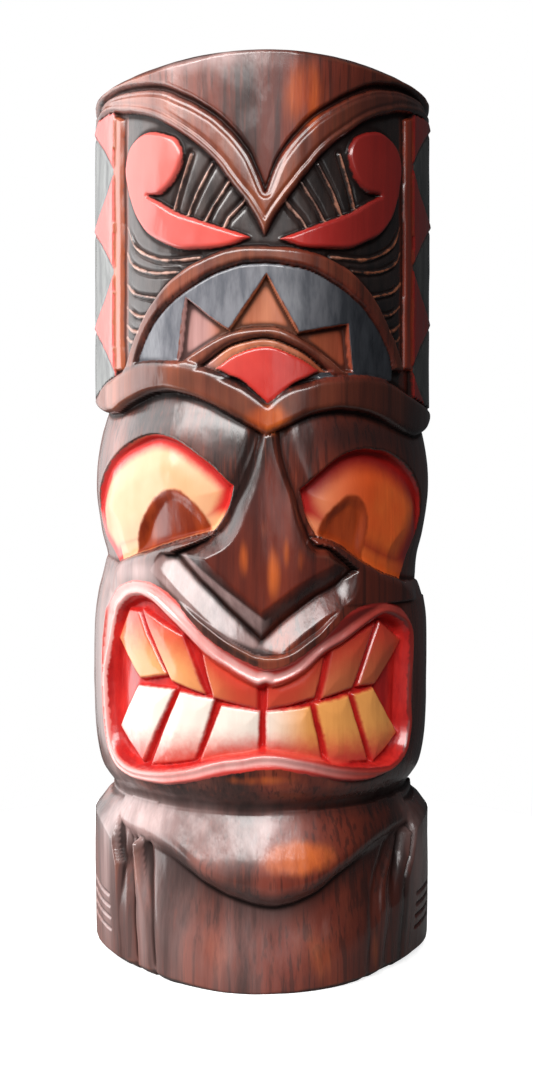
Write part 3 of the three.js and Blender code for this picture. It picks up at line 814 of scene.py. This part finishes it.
class Shader:
    """A material's node tree, written as nested calls."""

    def __init__(self, name, **constants):
        self.material = bpy.data.materials.new(name)
        self.material.use_nodes = True
        self.tree = self.material.node_tree
        self.surface = self.tree.nodes["Principled BSDF"]
        for socket, value in constants.items():
            self.surface.inputs[socket.replace("_", " ")].default_value = value

    def node(self, kind, **settings):
        made = self.tree.nodes.new(kind)
        for key, value in settings.items():
            setattr(made, key, value)
        return made

    def put(self, socket, value):
        """Links or sets an input; a name stands for the mesh's attribute of that name."""
        if isinstance(value, str):
            value = self.node("ShaderNodeAttribute", attribute_name=value).outputs["Fac"]
        if isinstance(value, bpy.types.NodeSocket):
            self.tree.links.new(value, socket)
        elif value is not None:
            socket.default_value = value

    def set(self, socket, value):
        self.put(self.surface.inputs[socket], value)

    def math(self, operation, *values):
        made = self.node("ShaderNodeMath", operation=operation)
        for socket, value in zip(made.inputs, values):
            self.put(socket, value)
        return made.outputs[0]

    def plus(self, a, b):
        return self.math("ADD", a, b)

    def times(self, a, b):
        return self.math("MULTIPLY", a, b)

    def step(self, value, low, high, out_low=0.0, out_high=1.0):
        """Maps value from low..high to out_low..out_high with a smooth step."""
        made = self.node("ShaderNodeMapRange", interpolation_type="SMOOTHSTEP")
        limits = {"From Min": low, "From Max": high, "To Min": out_low, "To Max": out_high}
        for name, number in limits.items():
            self.put(made.inputs[name], number)
        self.put(made.inputs["Value"], value)
        return made.outputs["Result"]

    def mix(self, share, a, b):
        """Mixes two colours, which are sockets or are given as they look on a screen."""
        made = self.node("ShaderNodeMix", data_type="RGBA")
        self.put(made.inputs["Factor"], share)
        for socket, colour in zip(made.inputs[6:8], (a, b)):
            self.put(socket, on_screen(*colour) if isinstance(colour, tuple) else colour)
        return made.outputs[2]

    def position(self, scale=(1, 1, 1)):
        coordinates = self.node("ShaderNodeTexCoord").outputs["Object"]
        mapping = self.node("ShaderNodeMapping")
        mapping.inputs["Scale"].default_value = scale
        self.put(mapping.inputs["Vector"], coordinates)
        return mapping.outputs["Vector"]

    def axis(self, letter):
        """The place along X, Y or Z, in metres."""
        parts = self.node("ShaderNodeSeparateXYZ")
        self.put(parts.inputs[0], self.position())
        return parts.outputs[letter]

    def noise(self, place, scale, detail=3.0, roughness=0.55):
        """Soft random patches; place is a vector, or how much each axis is stretched."""
        made = self.node("ShaderNodeTexNoise")
        for name, value in (("Scale", scale), ("Detail", detail), ("Roughness", roughness)):
            made.inputs[name].default_value = value
        self.put(made.inputs["Vector"], self.position(place) if isinstance(place, tuple) else place)
        return made.outputs["Fac"]

    def bump(self, height, distance, strength, below=None):
        made = self.node("ShaderNodeBump")
        self.put(made.inputs["Height"], height)
        made.inputs["Distance"].default_value = distance
        made.inputs["Strength"].default_value = strength
        self.put(made.inputs["Normal"], below)
        return made.outputs["Normal"]


# the dark and the light strokes of each paint and wood, on the lit side and then on the far side; the far
# side's darker pair is painted shade
RUBBED = ((128, 56, 34), (182, 98, 62)), ((40, 20, 15), (84, 40, 26))
RAISED_EDGE_WEAR_AND_HIGHLIGHT = ((132, 66, 46), (176, 104, 76)), ((70, 32, 22), (120, 62, 40))
BLACK = ((38, 27, 25), (66, 50, 46)), ((12, 8, 8), (30, 20, 18))
VEIN = ((150, 104, 90), (214, 170, 152)), ((90, 44, 28), (150, 88, 60))
SLATE = ((84, 86, 86), (124, 126, 124)), ((46, 46, 45), (72, 72, 70))
COLUMN_WOOD = ((150, 68, 38), (186, 98, 62)), ((96, 32, 20), (150, 56, 30))
SUNK = ((178, 92, 56), (214, 134, 98)), ((100, 34, 20), (154, 58, 32))
BLUE = ((92, 94, 102), (136, 136, 142)), ((20, 23, 28), (46, 48, 53))
# and where one pair serves both sides
# painted highlight on the star's lit tip
STAR_TIP_HIGHLIGHT = ((168, 118, 112), (204, 156, 150))
NOSE_WOOD = ((84, 28, 20), (152, 56, 32))
GLOW = ((164, 62, 24), (220, 108, 44))
# painted sheen and reflection, partly pale varnish
SHEEN_AND_WEAR_PALE = ((164, 130, 126), (206, 174, 170))
RED = ((204, 44, 38), (228, 66, 54))
MOUTH_RED = ((176, 26, 26), (214, 44, 38))
IRIS = ((122, 38, 12), (176, 70, 26))
RINGS_PER_METRE = 260  # in the end grain


class PaintedWood(Shader):
    """The front's material: wood, with a colour that the paints are laid over one by one."""

    def __init__(self):
        super().__init__("scorched_painted_wood", Coat_Roughness=0.22, Coat_IOR=1.7, Specular_IOR_Level=0.12)
        self.streaks = self.noise((1, 1, 0.07), 62, 5, 0.62)
        self.brush = self.noise((1, 1, 0.25), 150, 4, 0.6)
        self.cloud = self.noise((1, 1, 1), 26, 3)
        self.wobble = self.times(self.math("SUBTRACT", self.noise((1, 1, 1), 260, 2), 0.5), 1.6)
        self.x = self.axis("X")
        # every colour laid with this mask turns to a darker copy on the far side: painted shade
        self.painted_shade_side = self.step(self.x, -0.01, 0.06)  # 1 on the side that is turned from the light
        self.colour = None

    def strokes(self, pair, field):
        """Brush strokes, streaks or clouds of a pair of colours."""
        return self.mix(self.step(field, 0.3, 0.7), *pair)

    def sides(self, pairs, field):
        """Painted light and shade: one pair of colours on the lit side and a darker pair, as painted shade,
        on the far side.
        """
        lit, shaded = pairs
        return self.mix(self.painted_shade_side, self.strokes(lit, field), self.strokes(shaded, field))

    def lay(self, share, colour):
        self.colour = self.mix(share, self.colour, colour)

    def over(self, name, colour, soft=0.35, low=0.0):
        """Lays a colour wherever the attribute of that name is above low, with an uneven edge."""
        depth = self.plus(name, self.wobble)
        self.lay(self.step(depth, low - soft, low + soft), colour)


def raw_wood(wood):
    """Softwood in wide bands of dark and light, streaked and finely lined along the log; lighter toward the
    lit left as painted light, darker toward the right as painted shade.
    """
    wide = wood.noise((1, 1, 0.07), 17, 3, 0.6)
    blotch = wood.noise((1, 1, 0.45), 9, 3, 0.55)
    heat = wood.step(wood.plus(wood.times(wide, 0.62), wood.times(blotch, 0.38)), 0.43, 0.6)
    painted_light_left = wood.step(wood.x, 0.02, -0.09)
    painted_shade_right = wood.step(wood.x, 0.0, 0.075)
    dark = wood.mix(painted_light_left, (46, 26, 22), (92, 58, 52))
    light = wood.mix(painted_light_left, (136, 52, 33), (162, 96, 80))
    bright = wood.mix(painted_shade_right, (152, 68, 44), (92, 34, 20))
    dark = wood.mix(painted_shade_right, dark, (20, 11, 9))
    wood.colour = wood.mix(heat, dark, wood.mix(painted_shade_right, light, (74, 28, 18)))
    wood.lay(wood.step(wood.streaks, 0.52, 0.74), bright)
    wood.lay(wood.step(wood.streaks, 0.46, 0.30, 0.0, 0.8), (30, 18, 16))
    lines = wood.noise((1, 1, 0.03), 330, 3, 0.6)
    wood.lay(wood.step(lines, 0.5, 0.36, 0.0, 0.55), (24, 13, 11))
    wood.lay(wood.step(lines, 0.54, 0.7, 0.0, 0.35), bright)


def wear_shade_and_sheen(wood):
    """Rubbed lighter on the ribs, and on raised edges as rubbed wear with a painted highlight; blackened by
    the torch and darkened with painted shade in places; paled with painted sheen and reflection, partly pale
    varnish, in places.
    """
    on_rib = wood.step("rib", 1.2, 4.5, 0.0, 0.55)
    wood.lay(on_rib, wood.sides(RUBBED, wood.streaks))
    off_eyes = wood.step("eye", -7, -10)
    # raised edges lighter: rubbed wear and painted highlight
    raised_edge_wear_and_highlight = wood.times(wood.step("ridge", 0.4, 1.6, 0.0, 0.6), off_eyes)
    wood.lay(raised_edge_wear_and_highlight, wood.sides(RAISED_EDGE_WEAR_AND_HIGHLIGHT, wood.streaks))
    wood.lay(wood.step("nose", 5, 12, 0.0, 0.75), wood.strokes(NOSE_WOOD, wood.streaks))
    # torch-blackened wood, and painted shade and shadow under the chest, under the chin and along the nose
    wood.lay(wood.times("scorch_and_shade", 0.9), (30, 18, 17))
    patchy = wood.plus(wood.times(wood.streaks, 1.5), wood.times(wood.cloud, 0.5))
    glow = wood.step(wood.times("glow", patchy), 0.3, 1.0)
    wood.lay(glow, wood.strokes(GLOW, wood.streaks))
    # painted sheen and reflection, partly pale varnish from wear
    sheen_and_wear = wood.times("sheen_and_wear", wood.step(wood.streaks, 0.3, 0.6, 0.75, 1.0))
    wood.lay(sheen_and_wear, wood.strokes(SHEEN_AND_WEAR_PALE, wood.streaks))


def headdress_paints(wood):
    wood.over("black", wood.sides(BLACK, wood.brush))
    wood.over("vein", wood.sides(VEIN, wood.brush), soft=0.5)
    wood.over("slate", wood.sides(SLATE, wood.brush))
    wood.over("orange", wood.sides(COLUMN_WOOD, wood.streaks))
    sunk = wood.sides(SUNK, wood.streaks)
    # painted highlight on the star's tip toward the lit left
    at_lit_tip = wood.step(wood.x, -0.02, -0.034)
    wood.over("star", wood.mix(at_lit_tip, sunk, wood.strokes(STAR_TIP_HIGHLIGHT, wood.streaks)))
    wood.over("blue", wood.sides(BLUE, wood.brush))


def red_paint(wood):
    """The headdress's and the lips' red, darker on the far side as painted shade and paler toward the lit
    left as painted highlight, and the lip's roll, paler from rubbed paint and a painted highlight.
    """
    red = wood.strokes(RED, wood.cloud)
    # painted shade: dark red on the far side
    red = wood.mix(wood.times(wood.painted_shade_side, 0.9), red, (106, 20, 17))
    # painted highlight: paler pink toward the lit left
    wood.over("red", wood.mix(wood.step(wood.x, 0.0, -0.055, 0.0, 0.3), red, (230, 150, 140)))
    on_roll = wood.step("roll", 0.15, 0.8)
    # the roll paler from rubbed paint and a painted highlight, with a darker copy as painted shade on the
    # far side
    worn = wood.times(on_roll, wood.step(wood.streaks, 0.3, 0.6, 0.6, 0.95))
    wood.lay(worn, wood.mix(wood.painted_shade_side, (244, 182, 176), (170, 60, 50)))


def eye_paint(wood):
    """Amber with red brushed round the rim; cream on the lit side, and deeper orange with a wider, darker
    red rim on the far side as painted shade.
    """
    eye = wood.plus("eye", wood.wobble)
    # painted light and shade: cream on the lit side, deeper orange on the far side
    amber = wood.mix(wood.painted_shade_side, (248, 184, 138), (228, 88, 34))
    amber = wood.mix(wood.step(wood.cloud, 0.4, 0.75, 0.0, 0.3), amber, (236, 140, 60))
    # painted shade: on the far side the red rim reaches further in and is darker
    rim_end = wood.math("MULTIPLY_ADD", wood.painted_shade_side, 6.0, 10.5)
    inside_rim = wood.math("MAXIMUM", wood.step(eye, 4.0, rim_end), "lid")
    rim = wood.mix(wood.painted_shade_side, (216, 52, 48), (158, 26, 22))
    wood.over("eye", wood.mix(inside_rim, rim, amber))
    wood.over("iris", wood.strokes(IRIS, wood.streaks), soft=1.2)


def mouth_paint(wood):
    """Red, with teeth that run from orange roots to pale ends; the ends are paler on the lit side as painted
    light and darker on the far side as painted shade.
    """
    wood.over("mouth", wood.strokes(MOUTH_RED, wood.brush))
    from_root = wood.math("MULTIPLY_ADD", wood.wobble, 0.1, "root")
    from_middle = wood.step(wood.math("ABSOLUTE", wood.x), 0.012, 0.05)
    # painted shade: the upper teeth's tips darker on the far side
    tip = wood.mix(wood.painted_shade_side, (246, 168, 104), (190, 92, 58))
    tip = wood.mix(from_middle, (208, 74, 50), tip)
    tooth = wood.mix(wood.step(from_root, 0.0, 0.8), (214, 62, 44), tip)
    wood.over("upper", tooth, soft=1.1, low=1.4)
    # painted light and shade: the lower teeth's tips pale toward the lit left and orange toward the right
    tip = wood.mix(wood.step(wood.x, -0.004, 0.026), (255, 238, 224), (255, 172, 92))
    tooth = wood.mix(wood.step(from_root, 0.05, 0.6), (222, 72, 58), tip)
    wood.over("lower", tooth, soft=1.1, low=1.4)


def block_material():
    """The front: carved wood, worn, painted, darkened in its cuts with dirt and painted shade, and
    varnished.
    """
    wood = PaintedWood()
    for lay_on in (raw_wood, wear_shade_and_sheen, headdress_paints, red_paint, eye_paint, mouth_paint):
        lay_on(wood)
    # dirt and painted shade in the cuts, except in the lips and the eyes
    spared_from_cut_darkening = wood.math("MAXIMUM", "red_lip", "eye")
    cut_dirt_and_shade = wood.times(wood.step("hollow", 0.25, 1.5), wood.step(spared_from_cut_darkening, 0.5, -1.5))
    wood.lay(wood.times(cut_dirt_and_shade, 0.82), (26, 15, 14))
    wood.set("Base Color", wood.colour)
    wood.set("Roughness", wood.step(wood.streaks, 0.2, 0.8, 0.42, 0.62))
    wood.set("Coat Weight", wood.step("hollow", 0.15, 0.9, 1.0, 0.1))  # the cuts are dull
    grain = wood.bump(wood.noise((1, 1, 0.04), 420, 4, 0.6), 0.0004, 0.5)
    gouge_marks = wood.noise((1, 1, 0.5), 55, 2, 0.5)
    wood.set("Normal", wood.bump(gouge_marks, 0.0016, 0.35, grain))
    wood.set("Coat Normal", wood.bump(wood.noise((1, 1, 0.35), 120, 3, 0.5), 0.0007, 0.5))
    return wood.material


def sawn_material():
    """The back: stained with thin brown, unvarnished, with the band saw's marks across the grain."""
    shader = Shader("sawn_back")
    lines = shader.noise((1, 1, 0.025), 230, 5, 0.65)
    wide = shader.noise((1, 1, 0.05), 38, 3, 0.55)
    patch = shader.noise((1, 1, 0.6), 9, 3)
    early = shader.mix(shader.step(wide, 0.38, 0.64), (128, 84, 56), (166, 116, 80))
    colour = shader.mix(shader.step(lines, 0.42, 0.62, 0.0, 0.7), early, (86, 50, 34))
    colour = shader.mix(shader.step(patch, 0.46, 0.66, 0.0, 0.55), colour, (94, 62, 46))
    rim = shader.step(shader.math("ABSOLUTE", shader.axis("X")), 0.084, 0.099, 0.0, 0.75)
    shader.set("Base Color", shader.mix(rim, colour, (50, 31, 25)))
    shader.set("Roughness", shader.step(lines, 0.3, 0.7, 0.68, 0.86))
    saw = shader.noise((0.08, 1, 1), 420, 2, 0.5)
    grain = shader.bump(lines, 0.0005, 0.6)
    shader.set("Normal", shader.bump(saw, 0.0004, 0.45, grain))
    return shader.material


def end_material():
    """Both ends: dark-stained end grain, with growth rings round the log's heart and drying cracks."""
    shader = Shader("end_grain")
    x = shader.axis("X")
    y = shader.math("SUBTRACT", shader.axis("Y"), BACK_Y * MM)
    squared = shader.plus(shader.times(x, x), shader.times(y, y))
    wander = shader.times(shader.noise((1, 1, 1), 24, 2), 0.012)
    from_heart = shader.plus(shader.math("SQRT", squared), wander)
    ring = shader.math("FRACT", shader.times(from_heart, RINGS_PER_METRE))
    speckle = shader.noise((1, 1, 0.1), 900, 3, 0.6)
    early = shader.mix(shader.step(speckle, 0.35, 0.65), (98, 60, 42), (134, 88, 62))
    colour = shader.mix(shader.step(ring, 0.35, 0.95, 0.0, 0.75), early, (58, 32, 24))
    direction = shader.node("ShaderNodeCombineXYZ")
    shader.put(direction.inputs[0], shader.math("ARCTAN2", x, y))
    cracks = shader.math("SUBTRACT", shader.noise(direction.outputs[0], 9, 2, 0.5), 0.5)
    crack = shader.step(shader.math("ABSOLUTE", cracks), 0.006, 0.001)
    crack = shader.times(crack, shader.step(from_heart, 0.02, 0.06))
    colour = shader.mix(shader.times(crack, 0.85), colour, (20, 12, 10))
    rim = shader.step(from_heart, 0.088, 0.1, 0.0, 0.8)
    shader.set("Base Color", shader.mix(rim, colour, (40, 24, 20)))
    shader.set("Roughness", shader.step(speckle, 0.3, 0.7, 0.52, 0.76))
    rings = shader.bump(ring, 0.0002, 0.5)
    shader.set("Normal", shader.bump(crack, 0.0006, 1.0, rings))
    return shader.material


def metal_material(name, colour, tarnish, roughness):
    shader = Shader(name, Metallic=0.55)
    cloud = shader.noise((1, 1, 1), 420, 4, 0.6)
    scratch = shader.noise((1, 1, 0.12), 2600, 2, 0.5)
    shader.set("Base Color", shader.mix(shader.step(cloud, 0.45, 0.72), colour, tarnish))
    shader.set("Roughness", shader.step(cloud, 0.3, 0.75, roughness, roughness + 0.26))
    shader.set("Normal", shader.bump(scratch, 0.00006, 0.6))
    return shader.material


# ---- building the figure ----
def link(name, data):
    made = bpy.data.objects.new(name, data)
    bpy.context.scene.collection.objects.link(made)
    return made


def build_block():
    radius = carved_radius()
    radius = radius + 0.22 * noise(30, 40, 2) + 0.1 * noise(5, 12)
    relief = radius - blurred(radius, 5.5)
    wide_relief = radius - blurred(radius, 14)
    # each attribute's values over the front, and its value on the back and the ends
    data = {name: (depth, -FAR) for name, depth in paint.items()}
    data["ridge"] = (np.clip(relief, 0, 3), 0.0)
    data["hollow"] = (np.clip(-relief - 0.15 * wide_relief, 0, 4), 0.0)
    data["scorch_and_shade"] = (scorch_and_painted_shade(), 0.15)
    fields = {"glow": glowing, "sheen_and_wear": sheen_and_wear, "lid": lower_lid, "root": tooth_share, "roll": lip_roll}
    for name, field in fields.items():
        data[name] = (field(), 0.0)
    mesh = block_mesh(radius, data)
    block = link("carved_figure", mesh)
    for material in (block_material(), sawn_material(), end_material()):
        mesh.materials.append(material)
    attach(block, "figure")
    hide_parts("carved_body")


# spots as [x, z, half width, half height, strength]
# torch-blackened patches, and painted shade under the brow band, over the right eye, under the chin and
# beside the nose
SCORCH_AND_SHADE_SPOTS = [
    (-66, 305, 40, 9, 0.5), (-48, 326, 30, 9, 0.45), (60, 296, 60, 12, 0.9), (86, 300, 40, 30, 0.8),
    (0, 96, 120, 7, 0.85), (-78, 40, 5, 40, 0.6), (-58, 40, 8, 44, 0.85), (78, 40, 8, 40, 0.6),
    (58, 40, 7, 40, 0.5), (42, 40, 14, 30, 0.35), (0, 40, 90, 8, 0.4), (40, 222, 14, 14, 0.9),
    (-30, 212, 14, 12, 0.7), (60, 480, 40, 16, 0.4),
]
GLOWING = [
    (22, 476, 14, 24, 1.0), (1, 304, 14, 9, 1.1), (17, 71, 21, 9, 1.25), (-12, 230, 3.5, 13, 0.75),
    (4, 223, 4.5, 17, 0.85), (-1, 246, 3, 10, 0.55), (11, 234, 3, 12, 0.6), (19, 230, 3.5, 10, 0.65),
    (-8, 113, 30, 4, 0.6), (30, 18, 12, 26, 0.45), (-28, 22, 15, 26, 0.55), (62, 16, 6, 22, 0.4),
    (-60, 22, 6, 24, 0.4), (4, 16, 7, 22, 0.4),
]
# painted sheen and reflection, partly pale varnish: mostly on the lit left, the chest's top and the top edge
SHEEN_AND_WEAR_SPOTS = [
    (-52, 85, 34, 11, 0.95), (-22, 80, 26, 13, 0.75), (0, 84, 22, 8, 0.6), (-93, 50, 15, 50, 1.0),
    (-80, 84, 26, 12, 1.0), (-70, 36, 5, 40, 0.55), (90, 66, 14, 26, 0.3), (-60, 30, 30, 40, 0.35),
    (-20, 24, 34, 30, 0.3), (-92, 165, 18, 60, 0.9), (-70, 478, 30, 24, 0.3), (-86, 112, 18, 14, 0.7),
    (-92, 262, 10, 40, 0.6), (-93, 215, 16, 10, 0.6), (-72, 222, 20, 7, 0.85), (-32, 497, 32, 6, 1.0),
    (-99, 50, 20, 46, 0.95),
]


def spots(centres):
    """Soft spots, each as strong as it says at its middle and fading to 0 round it."""
    total = np.zeros_like(S)
    for x, z, width, tall, strength in centres:
        s = LOG_RADIUS * math.asin(x / LOG_RADIUS)
        total = np.maximum(total, strength * hump(SW - s, width) * hump(ZW - z, tall))
    return total


def scorch_and_painted_shade():
    """Where the wood is darkened: torch-blackening, and painted shade along the nose's crease and painted
    shadow under the chest's edge and under the chin.
    """
    below_chest = height_of(CHEST_EDGE) - ZW
    from_lip = near(NOSE_V, R_FACE)
    # painted shade along the crease under the nose
    on_nose = (paint["nose"] > 0) * ramp((15 - from_lip) / 9) * ramp(from_lip / 1.5)
    dark = np.maximum.reduce([
        spots(SCORCH_AND_SHADE_SPOTS),
        0.85 * on_nose,
        # painted shadow under the chest's edge
        0.95 * ramp((below_chest + 8) / 9) * hump(np.maximum(below_chest, 0), 15),
        # painted shadow
        0.9 * hump(ZW - 97, 6.5),  # below the chin
        0.6 * ramp((ZW - HEIGHT + 8) / 7) * ramp((PHI + 0.3) / 0.7),  # the top edge
    ])
    return np.clip(dark + 0.15 * noise(20, 60, 2), 0, 1)


def glowing():
    """Where the torch passed over quickly and the wood stayed orange."""
    return spots(GLOWING)


def sheen_and_wear():
    """Painted sheen and reflection, partly pale varnish from handling: the chest's top, the arm, the belly,
    the left edge, the top edge and the lit lip facet.
    """
    # painted reflection on the lit facet of the upper lip
    on_facet = ramp(paint["facet"] / 1.5) * ramp((near(NOSE_V, R_FACE) - 1) / 3) * ramp((4 - SW) / 8)
    at_back = ramp((np.abs(PHI) - 1.1) / 0.35)
    pale = np.maximum(spots(SHEEN_AND_WEAR_SPOTS), 0.8 * on_facet) * (1 - 0.6 * at_back)
    return np.clip(pale * (1 + 0.3 * noise(14, 40, 2)), 0, 1)


def lower_lid():
    """1 along the eyes' lower lids, where the rim's red stops short."""
    neck = height_of(NECK_LEFT + NECK_RIGHT, 97)
    return ramp((14 - (ZW - neck)) / 8) * (np.abs(SW) < 104)


def lip_roll():
    """The roll of the lip next to the mouth, paler from rubbed paint and a painted highlight, widest at the
    upper left.
    """
    width = 2.6 + 2.2 * ramp((20 - SW) / 60) * ramp((ZW - 110) / 60)
    return hump(paint["mouth"] + 3.6, width) * (paint["red_lip"] > 0.6)


def tooth_share():
    """0 at the gum and 1 at the biting end of each tooth."""
    bite, upper_root, lower_root = (height_of(line) for line in (BITE, UPPER_ROOTS, LOWER_ROOTS))
    upper = (upper_root - ZW) / (upper_root - bite)
    lower = (ZW - lower_root) / (bite - lower_root)
    return np.clip(np.where(ZW > bite, upper, lower), 0, 1)


def dress_hanger():
    zinc = metal_material("dull_zinc", (196, 198, 200), (142, 140, 136), roughness=0.42)
    wire = metal_material("zinc_wire", (206, 207, 209), (160, 157, 150), roughness=0.36)
    brass = metal_material("yellow_zinc", (206, 184, 122), (140, 116, 72), roughness=0.3)
    metals = {"strap": zinc, "ring": wire, "screw_upper": brass, "screw_lower": brass}
    for name, metal in metals.items():
        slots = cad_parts["hanger_" + name].data.materials
        slots.clear()
        slots.append(metal)


# ---- camera, floor and light, in metres and watts ----
CAMERA_X = -0.015
CAMERA_HEIGHT = 0.269
CAMERA_DISTANCE = 0.833  # in front of the back
FOCAL_LENGTH = 46.45
SENSOR = 36.0
LENS_SHIFT = (0.027366, -0.049165)  # of the frame's middle from the lens axis, as shares of its height
FLOOR_RADIUS = 0.32
FLOOR_Y = 0.12
FLOOR_CORNERS = 96
FIGURE_MIDDLE = (0, -0.04, 0.27)


def make_camera():
    camera = link("camera", bpy.data.cameras.new("camera"))
    camera.data.lens = FOCAL_LENGTH
    camera.data.sensor_width = SENSOR
    camera.data.shift_x, camera.data.shift_y = LENS_SHIFT
    camera.location = (CAMERA_X, BACK_Y * MM - CAMERA_DISTANCE, CAMERA_HEIGHT)
    camera.rotation_euler = (math.pi / 2, 0, 0)
    bpy.context.scene.camera = camera


def floor_material():
    """Pale to the camera, and dim to everything that is lit by it."""
    shader = Shader("pale_floor", Roughness=0.9, Base_Color=(0.8, 0.8, 0.8, 1),
                    Emission_Color=(1, 1, 1, 1), Emission_Strength=0.8)
    dim = shader.node("ShaderNodeBsdfDiffuse")
    dim.inputs["Color"].default_value = (0.18, 0.18, 0.18, 1)
    seen = shader.node("ShaderNodeLightPath").outputs["Is Camera Ray"]
    choose = shader.node("ShaderNodeMixShader")
    for socket, value in zip(choose.inputs, (seen, dim.outputs[0], shader.surface.outputs[0])):
        shader.put(socket, value)
    shader.put(shader.tree.nodes["Material Output"].inputs["Surface"], choose.outputs[0])
    return shader.material


def make_floor():
    """A pale round table top, bright enough to run into the white behind it."""
    mesh = bpy.data.meshes.new("floor")
    angles = np.linspace(0, 2 * math.pi, FLOOR_CORNERS, endpoint=False)
    rim = [(FLOOR_RADIUS * math.cos(a), FLOOR_RADIUS * math.sin(a) + FLOOR_Y, 0) for a in angles]
    mesh.from_pydata(rim, [], [tuple(range(FLOOR_CORNERS))])
    mesh.materials.append(floor_material())
    link("floor", mesh)


def softbox(name, at, towards, width, height, watts, colour=(1, 1, 1), mirrored_in_varnish=True):
    light = bpy.data.lights.new(name, "AREA")
    light.shape = "RECTANGLE"
    light.size, light.size_y = width, height
    light.energy = watts
    light.color = colour
    holder = link(name, light)
    holder.location = at
    holder.rotation_euler = (Vector(towards) - Vector(at)).to_track_quat("-Z", "Y").to_euler()
    holder.visible_glossy = mirrored_in_varnish


def place_lights():
    softbox("key", (-0.7, -1.12, 1.14), FIGURE_MIDDLE, 2.0, 0.56, 34, colour=(1.0, 0.985, 0.97))
    softbox("overhead", (0.3, -1.25, 1.08), FIGURE_MIDDLE, 0.45, 0.4, 5)
    softbox("window", (-1.2, 0.32, 0.45), (0, 0.32, 0.45), 1.35, 1.7, 21)
    softbox("far_window", (-1.2, 2.0, 0.45), (0, 2.0, 0.45), 2.0, 1.7, 11)
    softbox("fill", (0.5, -1.9, 0.5), FIGURE_MIDDLE, 0.7, 0.5, 1)
    softbox("behind", (0.2, 2.0, 0.9), FIGURE_MIDDLE, 1.4, 1.2, 14, mirrored_in_varnish=False)


def make_world():
    """White to the camera, and a faint blue light on everything else."""
    world = bpy.data.worlds.new("studio")
    world.use_nodes = True
    nodes, links = world.node_tree.nodes, world.node_tree.links
    shown, ambient = nodes["Background"], nodes.new("ShaderNodeBackground")
    shown.inputs["Color"].default_value = (1, 1, 1, 1)
    ambient.inputs["Color"].default_value = (0.9, 0.95, 1, 1)
    ambient.inputs["Strength"].default_value = 0.045
    path, choose = nodes.new("ShaderNodeLightPath"), nodes.new("ShaderNodeMixShader")
    links.new(path.outputs["Is Camera Ray"], choose.inputs["Fac"])
    links.new(ambient.outputs[0], choose.inputs[1])
    links.new(shown.outputs[0], choose.inputs[2])
    links.new(choose.outputs[0], nodes["World Output"].inputs["Surface"])
    bpy.context.scene.world = world
    bpy.context.scene.view_settings.view_transform = "Standard"


make_camera()
build_block()
dress_hanger()
make_floor()
place_lights()
make_world()
